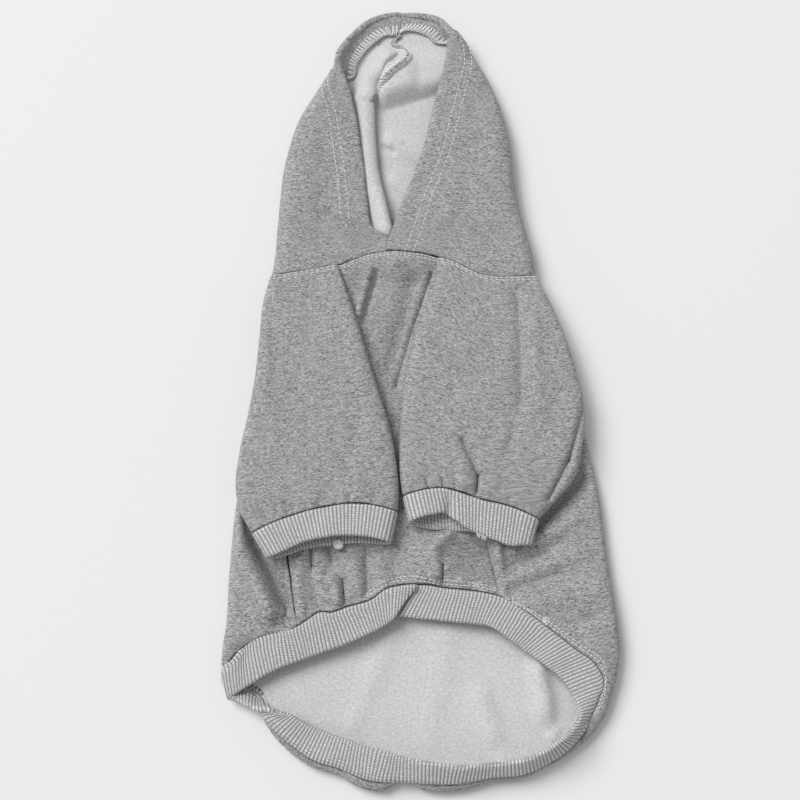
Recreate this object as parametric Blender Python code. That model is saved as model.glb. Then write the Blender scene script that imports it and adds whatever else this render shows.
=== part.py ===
"""Cat hoodie in sweatshirt knit, laid flat on its back with the belly side up.

Hood at +Y, hem at -Y, the table at z = 0.  Every size in the constants and the tables is in
millimetres, and add_cloth turns them into metres.  Each piece is drawn as the middle of its
cloth, and Solidify gives it the cloth's thickness.  Left is -X and right is +X, as the garment
is seen from above.
"""
import math
from collections import namedtuple

import bmesh
import bpy
from mathutils import Vector

MM = 0.001
CLOTH = 2.0               # thickness of the brushed knit
RIB = 2.8                 # thickness of a doubled rib band
HALF = CLOTH / 2
SEAM_GAP = 0.3            # between pieces that are sewn together
FOLD_FADE = 3.0           # how fast a soft fold falls away towards its width
CORNER_GAP = 0.9          # the same where the hem twists at its left corner
CORNER_ROWS = range(3, 11)                      # the rows of the table HEM round that corner
BODY_TOP = 9.0            # height of the flattened body where the sleeves lie on it
SLEEVE_REST = BODY_TOP + SEAM_GAP
NECK_BACK = 51.5          # the neck seam on the back, as a place along Y
NECK_FOLD_LOW = 4.0       # heights between which the neck seam turns from the back to the front
NECK_FOLD_HIGH = 8.0
UNDER_INSET = 11.0        # width of the flat strip inside the rim of the back panel
CUFF_LAG = 3.5            # how far a cuff's lower layer reaches past its upper one
CUFF_HIGH = 10.3          # height of a flattened cuff, over the sleeve's, as rib is thicker
BAND_BEND = 1.6           # length over which the hem band follows the cloth it is sewn to
SHORT_FLAP = 1.2          # cloth between a turned edge and the hem band, where the band is near
SLEEVE_PUFF = 1.2         # how far a sleeve's upper layer is crowned at the cuff
BELLY_RISE = 2.5          # how much higher the belly lies at the hem than between the sleeves
BELLY_RISE_FROM = -97.0   # where along Y it starts to rise, and over what length
BELLY_RISE_RUN = 22.0
NECK_LINE = 56.0          # mean place along Y of the neck seam over the belly
BELLY_END = 0.25          # share of the belly's length over which its end's own curve fades out

# Colours are linear RGB, read by eye from the photograph.
MARL = (0.30, 0.32, 0.325, 1.0)
RIB_GREY = (0.42, 0.44, 0.44, 1.0)


# ---------------------------------------------------------------- tables of the lay
Rim = namedtuple("Rim", "x y high turn seam_x seam_y")
Hem = namedtuple("Hem", "x y high turn seam_x seam_y edge_x edge_y edge_z")
Lap = namedtuple("Lap", "seam_x seam_y drop edge_x edge_y edge_z")
Sleeve = namedtuple("Sleeve", "along outer inner back_seam belly_seam high")
Hood = namedtuple("Hood", "x y high turn centre_x centre_y edge_x edge_y edge_z")
Cuff = namedtuple("Cuff", "x seam_y end_y")
Fold = namedtuple("Fold", "x1 y1 x2 y2 wide rise")

# The body's fold down the left side, from the neck to the side seam's lower end.
# x, y: outline; high: height of the fold; turn: how far the cloth turns over, in degrees;
# seam: where the flap that is turned over ends.
LEFT_SIDE = [
    Rim(-77.5, 51.2, 9.0, 180, -71.0, 51.2),
    Rim(-79.0, 38.0, 9.0, 180, -71.0, 38.0),
    Rim(-81.5, 20.0, 9.0, 180, -70.5, 20.0),
    Rim(-84.0, 0.0, 9.0, 180, -69.0, 0.0),
    Rim(-87.0, -25.0, 9.0, 180, -66.0, -25.0),
    Rim(-91.5, -50.0, 9.0, 180, -65.5, -50.0),
    Rim(-94.5, -72.0, 9.0, 180, -65.0, -72.0),
    Rim(-96.0, -92.0, 9.0, 180, -64.5, -92.0),
    Rim(-96.8, -108.0, 9.2, 180, -64.0, -108.0),
    Rim(-97.0, -122.0, 10.8, 180, -63.0, -121.0),
]

# The hem, from the left side seam round the back to the right side seam.
# edge: the free edge of the rib band there, with its height.
HEM = [
    Hem(-97.2, -129.5, 11.5, 180, -62.0, -131.3, -58.0, -147.5, 9.5),
    Hem(-98.0, -135.0, 11.0, 180, -74.0, -134.3, -69.0, -151.5, 9.3),
    Hem(-98.6, -139.5, 10.5, 180, -84.0, -137.8, -77.5, -155.5, 8.8),
    Hem(-99.0, -144.0, 9.5, 180, -90.6, -142.8, -85.0, -160.1, 8.0),
    Hem(-99.2, -148.5, 8.5, 160, None, None, -90.5, -163.5, 7.0),
    Hem(-98.6, -153.0, 6.0, 100, None, None, -94.5, -166.6, 6.0),
    Hem(-95.8, -156.2, 4.8, 55, None, None, -92.6, -167.4, 6.2),
    Hem(-91.0, -158.3, 4.0, 20, None, None, -90.5, -168.0, 6.5),
    Hem(-84.5, -160.8, 4.0, 20, None, None, -85.5, -170.0, 9.0),
    Hem(-78.6, -165.0, 4.0, 25, None, None, -80.0, -171.6, 11.5),
    Hem(-77.0, -169.8, 5.0, 70, None, None, -74.5, -171.8, 13.0),
    Hem(-78.0, -174.6, 7.0, 120, None, None, -69.6, -172.6, 12.5),
    Hem(-74.5, -181.5, 7.5, 150, None, None, -64.0, -173.6, 11.0),
    Hem(-67.0, -189.5, 8.0, 150, None, None, -57.5, -177.3, 9.5),
    Hem(-54.5, -198.3, 8.0, 150, None, None, -47.0, -182.0, 9.0),
    Hem(-40.0, -203.0, 8.0, 150, None, None, -35.0, -186.0, 9.5),
    Hem(-30.0, -208.4, 8.0, 150, None, None, -26.0, -189.0, 10.5),
    Hem(-20.0, -210.2, 8.0, 150, None, None, -17.0, -191.2, 12.0),
    Hem(-9.5, -207.0, 8.0, 150, None, None, -9.0, -193.6, 13.0),
    Hem(2.0, -210.0, 8.0, 150, None, None, 3.0, -196.0, 14.5),
    Hem(18.0, -210.0, 8.0, 150, None, None, 18.8, -197.9, 15.0),
    Hem(34.0, -206.0, 8.0, 150, None, None, 33.6, -196.8, 15.0),
    Hem(50.0, -204.0, 8.0, 150, None, None, 48.0, -195.0, 16.0),
    Hem(62.0, -198.5, 8.0, 150, None, None, 58.5, -191.0, 17.5),
    Hem(74.0, -191.6, 8.5, 160, None, None, 66.6, -185.4, 18.0),
    Hem(83.0, -184.3, 9.0, 170, None, None, 72.0, -181.0, 17.5),
    Hem(89.5, -176.0, 9.0, 180, 83.2, -175.0, 75.5, -176.5, 14.5),
    Hem(94.0, -165.5, 9.5, 180, 87.2, -165.5, 76.2, -171.0, 11.5),
    Hem(97.2, -154.5, 10.3, 180, 89.6, -157.3, 74.4, -165.0, 9.5),
    Hem(98.9, -143.0, 11.0, 180, 86.0, -149.5, 69.0, -157.0, 9.0),
    Hem(98.7, -135.0, 11.5, 180, 76.8, -142.6, 61.0, -150.3, 9.0),
    Hem(98.2, -129.0, 11.5, 180, 64.0, -132.6, 50.5, -142.5, 9.0),
    Hem(97.5, -123.0, 11.5, 180, 52.0, -123.8, 42.0, -136.4, 9.0),
    Hem(96.6, -117.0, 11.5, 180, 40.5, -116.7, 33.6, -131.3, 9.3),
]

# The body's fold up the right side, from the side seam's lower end to the neck.
RIGHT_SIDE = [
    Rim(95.2, -104.0, 9.4, 180, 37.0, -103.5),
    Rim(94.0, -92.0, 9.0, 180, 34.5, -92.0),
    Rim(91.6, -68.0, 9.0, 180, 33.5, -68.0),
    Rim(88.0, -46.0, 9.0, 180, 33.0, -46.0),
    Rim(84.0, -25.0, 9.0, 180, 33.0, -25.0),
    Rim(77.5, 0.0, 9.0, 180, 45.0, 0.0),
    Rim(71.0, 20.0, 9.0, 180, 51.0, 20.0),
    Rim(65.0, 38.0, 9.0, 180, 53.0, 38.0),
    Rim(59.5, 51.2, 9.0, 180, 53.0, 51.2),
]

# The hem across the belly, from the left side seam to the right one.
# drop: how far the band lies below the cloth's middle there, where one end laps the other.
BELLY_HEM = [
    Lap(-62.0, -131.3, 0.0, -58.0, -147.5, 9.5),
    Lap(-56.0, -127.5, 0.0, -52.5, -145.5, 9.5),
    Lap(-50.0, -124.0, 0.0, -46.0, -143.3, 9.6),
    Lap(-45.0, -124.3, 0.0, -40.2, -141.3, 9.7),
    Lap(-37.0, -121.6, 0.0, -31.0, -137.5, 9.9),
    Lap(-25.0, -118.0, -0.4, -21.4, -133.0, 10.4),
    Lap(-16.5, -112.3, -0.8, -15.5, -129.3, 10.8),
    Lap(-9.0, -110.7, -1.0, -13.0, -127.3, 11.0),
    Lap(-2.0, -110.3, -1.0, -12.5, -126.6, 11.0),
    Lap(4.0, -110.5, 1.7, -3.0, -127.2, 7.6),
    Lap(10.5, -111.8, 1.0, 5.0, -128.0, 8.3),
    Lap(22.9, -113.3, 0.2, 19.0, -129.4, 9.0),
    Lap(32.0, -114.5, 0.0, 27.0, -130.2, 9.2),
    Lap(40.5, -116.7, 0.0, 33.6, -131.3, 9.3),
]
LEFT_END = 8              # the row where the left stretch of the band ends, on top
RIGHT_END = Lap(-3.5, -110.4, 2.2, -12.0, -126.0, 7.0)     # the right one's end, beneath

# Rows down each sleeve: along runs from 0 at the neck seam to 1 at the cuff.
LEFT_SLEEVE = [
    Sleeve(0.00, -79.0, -43.5, -71.0, -50.0, 4.3),
    Sleeve(0.10, -82.2, -39.5, -71.0, -51.5, 5.2),
    Sleeve(0.25, -83.8, -33.5, -70.5, -55.5, 6.8),
    Sleeve(0.40, -85.4, -28.0, -69.0, -60.5, 8.0),
    Sleeve(0.55, -88.5, -22.0, -66.2, -65.8, 8.6),
    Sleeve(0.70, -92.3, -15.5, -65.2, -64.8, 9.0),
    Sleeve(0.85, -93.4, -11.8, -58.2, -57.8, 9.4),
    Sleeve(0.93, -90.5, -10.9, -54.2, -53.8, 9.5),
    Sleeve(1.00, -85.0, -11.5, -50.2, -49.8, 9.5),
]
RIGHT_SLEEVE = [
    Sleeve(0.00, 61.5, 9.5, 53.0, 16.0, 4.3),
    Sleeve(0.10, 67.5, 8.0, 53.0, 17.5, 5.4),
    Sleeve(0.25, 75.0, 1.8, 51.0, 22.0, 7.0),
    Sleeve(0.40, 80.5, -3.8, 45.0, 28.0, 8.2),
    Sleeve(0.55, 84.2, -8.3, 33.2, 32.8, 9.0),
    Sleeve(0.70, 82.6, -10.3, 33.2, 32.8, 9.4),
    Sleeve(0.85, 76.8, -10.8, 32.2, 31.8, 9.5),
    Sleeve(0.93, 67.5, -10.5, 30.2, 29.8, 9.5),
    Sleeve(1.00, 59.5, -9.3, 28.2, 27.8, 9.5),
]

# Where each cuff is sewn on, and where its upper layer ends.
LEFT_CUFF = [
    Cuff(-85.0, -85.5, -100.0),
    Cuff(-72.0, -79.5, -97.0),
    Cuff(-57.0, -74.3, -91.0),
    Cuff(-37.0, -70.5, -88.5),
    Cuff(-24.0, -71.5, -89.0),
    Cuff(-11.5, -74.5, -91.5),
]
RIGHT_CUFF = [
    Cuff(-9.3, -66.5, -81.0),
    Cuff(3.0, -63.4, -78.8),
    Cuff(11.0, -62.8, -75.6),
    Cuff(20.0, -65.0, -80.5),
    Cuff(30.0, -68.8, -85.0),
    Cuff(44.0, -71.8, -90.5),
    Cuff(59.5, -78.5, -90.0),
]
LEFT_CUFF_END = (-77.0, -15.0)      # outer and inner edge at the cuff's open end
RIGHT_CUFF_END = (55.5, -6.0)

# Stations round each half of the hood, from the neck seam up to the centre seam at the top.
# centre: on the seam that joins the halves; edge: the turned-in front edge, with its height.
LEFT_HOOD = [
    Hood(-79.0, 51.8, 13.6, 180, -14.0, 51.8, -15.0, 66.4, 8.8),
    Hood(-77.2, 63.0, 13.6, 180, -14.3, 66.0, -16.0, 73.5, 8.8),
    Hood(-76.2, 80.0, 13.4, 180, -15.5, 80.0, -26.0, 79.8, 9.4),
    Hood(-75.0, 98.0, 13.0, 180, -19.0, 97.0, -29.0, 98.0, 10.0),
    Hood(-73.5, 114.0, 12.6, 180, -21.5, 113.0, -30.5, 113.0, 10.4),
    Hood(-70.5, 128.0, 12.4, 180, -23.0, 128.0, -32.8, 128.0, 10.6),
    Hood(-66.0, 143.0, 12.2, 180, -22.5, 141.0, -35.0, 143.0, 10.8),
    Hood(-57.0, 159.5, 12.0, 180, -21.0, 152.0, -38.5, 158.0, 11.0),
    Hood(-51.0, 170.0, 12.0, 170, -17.5, 159.0, -42.5, 171.0, 11.4),
    Hood(-47.5, 178.0, 16.0, 110, -13.0, 164.0, -45.0, 179.0, 12.6),
    Hood(-42.5, 187.3, 22.0, 70, -9.0, 169.5, -42.2, 186.8, 13.0),
    Hood(-35.2, 196.3, 24.0, 62, -6.0, 175.0, -35.0, 195.8, 13.2),
    Hood(-26.8, 202.8, 24.0, 62, -5.5, 180.5, -27.0, 202.3, 13.4),
    Hood(-17.5, 206.3, 24.0, 62, -7.0, 185.0, -17.8, 205.5, 13.6),
    Hood(-10.0, 207.1, 24.0, 62, -10.0, 191.0, -10.2, 206.3, 13.6),
]
RIGHT_HOOD = [
    Hood(61.5, 51.8, 13.6, 180, -14.0, 51.8, -17.5, 66.8, 11.4),
    Hood(59.8, 66.0, 13.6, 180, -14.3, 66.0, -14.5, 75.0, 11.5),
    Hood(55.8, 82.0, 13.4, 180, -15.5, 80.0, -11.5, 84.5, 11.5),
    Hood(52.8, 96.0, 13.2, 180, -19.0, 97.0, -7.7, 96.0, 11.4),
    Hood(51.0, 112.0, 13.0, 180, -21.5, 113.0, -1.6, 112.0, 11.4),
    Hood(49.8, 126.0, 12.8, 180, -23.0, 128.0, 3.4, 127.0, 11.4),
    Hood(47.2, 141.0, 12.6, 180, -22.5, 141.0, 6.6, 141.0, 11.4),
    Hood(42.0, 158.0, 12.4, 180, -21.0, 152.0, 10.8, 158.5, 11.6),
    Hood(36.5, 170.5, 12.4, 180, -17.5, 159.0, 13.8, 171.0, 11.8),
    Hood(30.6, 180.5, 12.6, 180, -13.0, 164.0, 16.2, 182.0, 12.2),
    Hood(27.7, 187.5, 13.4, 175, -9.0, 169.5, 16.4, 189.5, 12.6),
    Hood(22.3, 195.6, 15.0, 150, -6.0, 175.0, 14.6, 196.0, 13.0),
    Hood(14.4, 203.0, 19.0, 95, -5.5, 180.5, 11.7, 201.0, 13.4),
    Hood(2.0, 206.3, 24.0, 62, -7.0, 185.0, 2.0, 205.5, 13.6),
    Hood(-10.0, 207.1, 24.0, 62, -10.0, 191.0, -10.2, 206.3, 13.6),
]

# The neck seam over the front: x, then y.
NECK_FRONT = [
    (-80.0, 51.2), (-55.0, 55.5), (-45.0, 57.5), (-32.0, 62.5), (-25.0, 65.0), (-17.0, 65.9), (-7.0, 65.3),
    (3.0, 64.0), (17.0, 60.0), (30.0, 52.8), (42.0, 50.8), (62.0, 51.5),
]

# The belly's side seams and raglan seams: y, then x of the left one and of the right one.
BELLY_SEAMS = [
    (-132.0, -62.0, 41.0), (-116.7, -63.3, 40.5), (-104.0, -64.1, 37.0), (-92.0, -64.5, 34.5),
    (-68.0, -65.0, 33.5), (-46.0, -65.6, 33.0), (-25.0, -66.0, 33.0), (0.0, -60.0, 27.0),
    (20.0, -55.0, 21.0), (40.0, -51.0, 17.0), (66.0, -49.5, 15.0),
]

# The largest folds of the belly and of the back's flaps below the cuffs, as soft ridges.
FOLDS = [
    Fold(-29.5, 58.0, -31.0, 34.0, 4.0, 1.4),       # pleat beside the left raglan seam
    Fold(-56.0, -103.0, -54.0, -124.0, 5.0, 1.6),
    Fold(-42.0, -100.0, -41.0, -119.0, 5.5, 1.8),
    Fold(-25.0, -99.0, -24.0, -112.0, 5.5, 1.4),
    Fold(-2.0, -98.0, -1.0, -106.0, 7.0, 1.5),
    Fold(28.0, -100.0, 34.0, -110.0, 6.0, 1.4),
    Fold(-86.0, -112.0, -74.0, -128.0, 8.0, 1.6),
    Fold(-70.0, -108.0, -64.0, -126.0, 6.0, -1.4),  # the hollow under the left cuff
    Fold(72.0, -108.0, 80.0, -130.0, 10.0, 1.2),
]


# ---------------------------------------------------------------- small helpers
def blend(start, end, share):
    """The value at this share of the way from start to end."""
    return start + (end - start) * share


def ease(share):
    """A smooth step from 0 to 1, flat at both ends."""
    share = min(max(share, 0.0), 1.0)
    return share * share * (3.0 - 2.0 * share)


def read_curve(points, place, column=1):
    """The value of one column of a short table, at a place in its first column."""
    for low, high in zip(points, points[1:]):
        if place <= high[0]:
            break
    return blend(low[column], high[column], min(max((place - low[0]) / (high[0] - low[0]), 0), 1))


def fold_height(x, y):
    """How much the soft folds lift the cloth at a place."""
    lift = 0.0
    for fold in FOLDS:
        run = Vector((fold.x2 - fold.x1, fold.y2 - fold.y1))
        reach = Vector((x - fold.x1, y - fold.y1))
        share = min(max(reach.dot(run) / run.length_squared, 0.0), 1.0)
        away = (reach - run * share).length
        lift += fold.rise * math.exp(-FOLD_FADE * (away / fold.wide) ** 2)
    return lift


def add_cloth(name, rows, thick, colour, closed=False, extra_face=None):
    """A piece of cloth from rows of points down its middle, with its wall and its material."""
    mesh = bpy.data.meshes.new(name)
    build = bmesh.new()
    grid = [[build.verts.new(Vector(point) * MM) for point in row] for row in rows]
    for row, after in zip(grid, grid[1:]):
        pairs = list(zip(row, row[1:], after[1:], after))
        if closed:
            pairs.append((row[-1], row[0], after[0], after[-1]))
        for corners in pairs:
            build.faces.new(corners)
    if extra_face:
        build.faces.new([row[0] for row in grid])
    bmesh.ops.recalc_face_normals(build, faces=build.faces)
    build.to_mesh(mesh)
    build.free()
    mesh.shade_smooth()
    piece = bpy.data.objects.new(name, mesh)
    bpy.context.scene.collection.objects.link(piece)
    wall = piece.modifiers.new("Cloth", "SOLIDIFY")
    wall.thickness = thick * MM
    wall.offset = 0.0
    finish = bpy.data.materials.new(name)
    finish.use_nodes = True
    shader = finish.node_tree.nodes["Principled BSDF"]
    shader.inputs["Base Color"].default_value = colour
    shader.inputs["Roughness"].default_value = 0.95
    shader.inputs["Metallic"].default_value = 0.0
    mesh.materials.append(finish)
    return piece


def trim_end(row_end, row_inner, gap):
    """Points of an end row, each drawn back towards the row beside it by the gap."""
    trimmed = []
    for end, inner in zip(row_end, row_inner):
        back = (Vector(inner) - Vector(end)).normalized() * gap
        trimmed.append(tuple(Vector(end) + back))
    return trimmed


def drawn_back(rows, gap):
    """The last point of each row, drawn back from the seam line that these points make."""
    seams = [Vector(row[-1]) for row in rows]
    drawn = []
    for index, row in enumerate(rows):
        along = seams[min(index + 1, len(rows) - 1)] - seams[max(index - 1, 0)]
        along.normalize()
        back = Vector(row[-2]) - seams[index]
        back -= along * back.dot(along)
        drawn.append(tuple(seams[index] + back.normalized() * gap))
    return drawn


# ---------------------------------------------------------------- folded edges
def outward(rows, index):
    """The level direction out of an outline at one of its rows, which run anticlockwise."""
    before = rows[max(index - 1, 0)]
    after = rows[min(index + 1, len(rows) - 1)]
    along = Vector((after.x - before.x, after.y - before.y)).normalized()
    return Vector((along.y, -along.x))


def turned_edge(row, out, steps=6):
    """The cloth's middle as it leaves the table and turns over at a folded edge."""
    radius = (row.high - CLOTH) / 2
    turn = math.radians(row.turn)
    reach = radius * math.sin(min(turn, math.pi / 2)) + HALF * min(turn / (math.pi / 2), 1.0)
    start = Vector((row.x, row.y)) - out * reach
    points = []
    for step in range(steps + 1):
        angle = turn * step / steps
        spot = start + out * radius * math.sin(angle)
        points.append((spot.x, spot.y, HALF + radius * (1 - math.cos(angle))))
    return points


def seam_point(row, arc):
    """Where the turned cloth meets the next piece."""
    if row.seam_x is not None:
        lift = fold_height(row.seam_x, row.seam_y) if row.turn == 180 else 0.0
        return (row.seam_x, row.seam_y, row.high - HALF + lift)
    last = Vector(arc[-1])
    return tuple(last + (last - Vector(arc[-2])).normalized() * SHORT_FLAP)


def rim_row(rows, index):
    """One section of the back panel: a flat strip, the fold, and the flap to its seam."""
    row = rows[index]
    out = outward(rows, index)
    arc = turned_edge(row, out)
    seam = seam_point(row, arc)
    inner = Vector(arc[0]) - Vector((out.x, out.y, 0.0)) * UNDER_INSET
    flap = []
    for share in (0.34, 0.67, 1.0):
        spot = Vector(arc[-1]).lerp(Vector(seam), share)
        if row.turn == 180 and share < 1.0:
            spot.z = row.high - HALF + fold_height(spot.x, spot.y)
        flap.append(tuple(spot))
    return [tuple(inner)] + arc + flap


# ---------------------------------------------------------------- pieces
def make_back():
    """The back: flat on the table, folded up round both sides and round the hem."""
    rim = LEFT_SIDE + HEM + RIGHT_SIDE
    rows = [rim_row(rim, index) for index in range(len(rim))]
    for end in (0, -1):
        rows[end] = [(x, rim[end].y, z) for x, _, z in rows[end]]
    for row, seam in zip(rows, drawn_back(rows, SEAM_GAP)):
        row[-1] = seam
    add_cloth("back_panel", rows, CLOTH, MARL, extra_face=True)


def belly_point(across, up):
    """A point of the belly panel: across from the left seam, up from the hem to the neck."""
    last = len(BELLY_HEM) - 1
    low = BELLY_HEM[round(across * last)]
    left_hem, right_hem = BELLY_HEM[0].seam_x, BELLY_HEM[-1].seam_x
    share = (low.seam_x - left_hem) / (right_hem - left_hem)
    chord = blend(BELLY_HEM[0].seam_y, BELLY_HEM[-1].seam_y, share)
    level = blend(chord, NECK_LINE, up)
    left = read_curve(BELLY_SEAMS, blend(BELLY_HEM[0].seam_y, NECK_LINE, up), 1)
    right = read_curve(BELLY_SEAMS, blend(BELLY_HEM[-1].seam_y, NECK_LINE, up), 2)
    x = blend(left, right, share)
    near_hem = ease(1.0 - up / BELLY_END)
    near_neck = ease((up - 1.0 + BELLY_END) / BELLY_END)
    y = level + (low.seam_y - chord) * near_hem + (read_curve(NECK_FRONT, x) - NECK_LINE) * near_neck
    middle = BODY_TOP - HALF + BELLY_RISE * ease((BELLY_RISE_FROM - y) / BELLY_RISE_RUN)
    return (x, y, middle + fold_height(x, y))


def make_belly():
    """The belly: on top, between the side seams and the raglan seams, up to the neck."""
    columns = len(BELLY_HEM)
    ups = [0.0, 0.03, 0.06, 0.09, 0.13, 0.18, 0.28, 0.4, 0.52, 0.64, 0.74, 0.82, 0.9, 0.96, 1.0]
    rows = [[belly_point(c / (columns - 1), up) for c in range(columns)] for up in ups]
    rows[0] = trim_end(rows[0], rows[1], SEAM_GAP)
    rows[-1] = trim_end(rows[-1], rows[-2], SEAM_GAP)
    for row in rows:
        row[0] = trim_end([row[0]], [row[1]], SEAM_GAP)[0]
        row[-1] = trim_end([row[-1]], [row[-2]], SEAM_GAP)[0]
    add_cloth("belly_panel", rows, CLOTH, MARL)


def sleeve_row(row, cuff_line):
    """One section of a sleeve: under layer, outer fold, upper layer, inner fold, under layer."""
    side = 1.0 if row.outer > row.inner else -1.0
    low = SLEEVE_REST + HALF
    radius = (row.high - CLOTH) / 2
    top = low + 2 * radius
    outer = row.outer - side * (HALF + radius)
    inner = row.inner + side * (HALF + radius)
    section = [(blend(row.back_seam, outer, step / 3), low) for step in range(3)]
    for step in range(6):
        angle = math.pi * step / 5
        section.append((outer + side * radius * math.sin(angle), low + radius * (1 - math.cos(angle))))
    for step in range(1, 7):
        share = step / 7
        crown = SLEEVE_PUFF * row.along * math.sin(math.pi * share)
        section.append((blend(outer, inner, share), top + crown))
    for step in range(6):
        angle = math.pi * step / 5
        section.append((inner - side * radius * math.sin(angle), low + radius * (1 + math.cos(angle))))
    section += [(blend(inner, row.belly_seam, step / 5), low) for step in range(1, 6)]
    neck_gap = SEAM_GAP * (1 - row.along)
    cuff_gap = SEAM_GAP * row.along
    points = []
    for x, z in section:
        start = read_curve(NECK_FRONT, x) - neck_gap
        end = read_curve(cuff_line, x) + cuff_gap
        points.append((x, blend(start, end, row.along), z))
    return points


def make_sleeve(name, table, cuff):
    """A raglan sleeve: one panel rolled over itself, open above the underarm."""
    cuff_line = sorted((row.x, row.seam_y) for row in cuff)
    add_cloth(name, [sleeve_row(row, cuff_line) for row in table], CLOTH, MARL)


def cuff_ring(outer, inner, high, line, lag):
    """One ring of a cuff: a flattened loop whose lower layer may reach a little further."""
    side = 1.0 if outer > inner else -1.0
    low = SLEEVE_REST + RIB / 2
    radius = (high - RIB) / 2
    start = outer - side * (RIB / 2 + radius)
    end = inner + side * (RIB / 2 + radius)
    loop = [(blend(start, end, step / 8), low + 2 * radius) for step in range(1, 8)]
    for step in range(6):
        angle = math.pi * step / 5
        loop.append((end - side * radius * math.sin(angle), low + radius * (1 + math.cos(angle))))
    loop += [(blend(end, start, step / 8), low) for step in range(1, 8)]
    for step in range(6):
        angle = math.pi * step / 5
        loop.append((start + side * radius * math.sin(angle), low + radius * (1 - math.cos(angle))))
    points = []
    for x, z in loop:
        under = (low + 2 * radius - z) / (2 * radius)
        points.append((x, read_curve(line, x) - lag * under, z))
    return points


def make_cuff(name, sleeve, cuff, ends):
    """A doubled rib band, closed to a ring, sewn on at the sleeve's lower edge."""
    seam_line = sorted((row.x, row.seam_y - SEAM_GAP) for row in cuff)
    end_line = sorted((row.x, row.end_y) for row in cuff)
    middle_line = [(a[0], (a[1] + b[1]) / 2) for a, b in zip(seam_line, end_line)]
    middle = (blend(sleeve[-1].outer, ends[0], 0.5), blend(sleeve[-1].inner, ends[1], 0.5))
    rings = [
        cuff_ring(sleeve[-1].outer, sleeve[-1].inner, CUFF_HIGH, seam_line, 0.0),
        cuff_ring(middle[0], middle[1], CUFF_HIGH, middle_line, CUFF_LAG / 2),
        cuff_ring(ends[0], ends[1], CUFF_HIGH, end_line, CUFF_LAG),
    ]
    add_cloth(name, rings, RIB, RIB_GREY, closed=True)


def hood_neck(x, z):
    """Where the hood starts: the back of the neck on the table, the front of it above."""
    turned = ease((z - NECK_FOLD_LOW) / (NECK_FOLD_HIGH - NECK_FOLD_LOW))
    return blend(NECK_BACK, read_curve(NECK_FRONT, x), turned) + SEAM_GAP


def hood_row(rows, index, side):
    """One section of half the hood: from the centre seam out, up the fold and to the edge."""
    row = rows[index]
    out = outward(rows, index) * side
    arc = turned_edge(row, out)
    start = Vector(arc[0])
    centre = Vector((row.centre_x, row.centre_y, HALF))
    centre += (start - centre).normalized() * (SEAM_GAP / 2)
    under = [tuple(centre.lerp(start, step / 5)) for step in range(5)]
    edge = Vector((row.edge_x, row.edge_y, row.edge_z))
    flap = [tuple(Vector(arc[-1]).lerp(edge, step / 6)) for step in range(1, 7)]
    section = under + arc + flap
    if index == 0:
        section = [(x, hood_neck(x, z), z) for x, _, z in section]
    return section


def make_hood(name, table, side):
    """Half of the hood, lying on its back, with its front folded over to the opening."""
    rows = [hood_row(table, index, side) for index in range(len(table))]
    rows[-1] = [(table[-1].x + side * SEAM_GAP, y, z) for _, y, z in rows[-1]]
    add_cloth(name, rows, CLOTH, MARL)


def band_row(before, seam, edge, gap=SEAM_GAP):
    """A section of the hem band: on from the cloth it is sewn to, then to its free edge."""
    seam = Vector(seam)
    edge = Vector(edge)
    onward = (seam - Vector(before)).normalized()
    start = seam + onward * gap
    bend = start + onward * BAND_BEND
    return [tuple(start), tuple(bend)] + [tuple(bend.lerp(edge, share)) for share in (0.35, 0.7, 1.0)]


def belly_band_row(lap):
    """A section of the hem band below the belly."""
    seam_z = belly_point(0.0, 0.0)[2] - fold_height(*belly_point(0.0, 0.0)[:2])
    lift = fold_height(lap.seam_x, lap.seam_y)
    seam = (lap.seam_x, lap.seam_y, seam_z + lift - lap.drop)
    before = (lap.seam_x, lap.seam_y + 1.0, seam[2])
    return band_row(before, seam, (lap.edge_x, lap.edge_y, lap.edge_z))


def make_band():
    """The hem band: one doubled strip of rib, its left end lapped over its right end."""
    rim = LEFT_SIDE + HEM + RIGHT_SIDE
    first = len(LEFT_SIDE)
    rows = [belly_band_row(lap) for lap in reversed(BELLY_HEM[1:LEFT_END + 1])]
    sections = [rim_row(rim, index) for index in range(len(rim))]
    drawn = drawn_back(sections, SEAM_GAP)
    for index, hem in enumerate(HEM, start=first):
        edge = (hem.edge_x, hem.edge_y, hem.edge_z)
        seam = sections[index][-1]
        before = (seam[0], seam[1] + 1.0, seam[2]) if hem in (HEM[0], HEM[-1]) else drawn[index]
        gap = CORNER_GAP if HEM.index(hem) in CORNER_ROWS else SEAM_GAP
        rows.append(band_row(before, seam, edge, gap))
    rows += [belly_band_row(lap) for lap in reversed(BELLY_HEM[LEFT_END + 1:-1])]
    rows.append(belly_band_row(RIGHT_END))
    add_cloth("hem_band", rows, RIB, RIB_GREY)


# ---------------------------------------------------------------- the hoodie
for old in list(bpy.data.objects):
    bpy.data.objects.remove(old, do_unlink=True)

make_back()
make_belly()
make_sleeve("sleeve_left", LEFT_SLEEVE, LEFT_CUFF)
make_sleeve("sleeve_right", RIGHT_SLEEVE, RIGHT_CUFF)
make_cuff("cuff_left", LEFT_SLEEVE, LEFT_CUFF, LEFT_CUFF_END)
make_cuff("cuff_right", RIGHT_SLEEVE, RIGHT_CUFF, RIGHT_CUFF_END)
make_hood("hood_left", LEFT_HOOD, -1.0)
make_hood("hood_right", RIGHT_HOOD, 1.0)
make_band()
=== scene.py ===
"""Cat hoodie in grey marl sweatshirt knit, laid flat on its back with the belly side up.

Hood at +Y, hem at -Y, the table at z = 0.  Sizes in the sections are in millimetres, and
sew_piece turns them into metres.  Left is -X and right is +X, as seen from above.
"""

import math
from collections import namedtuple

import bpy
import numpy as np
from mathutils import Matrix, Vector, geometry


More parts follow.
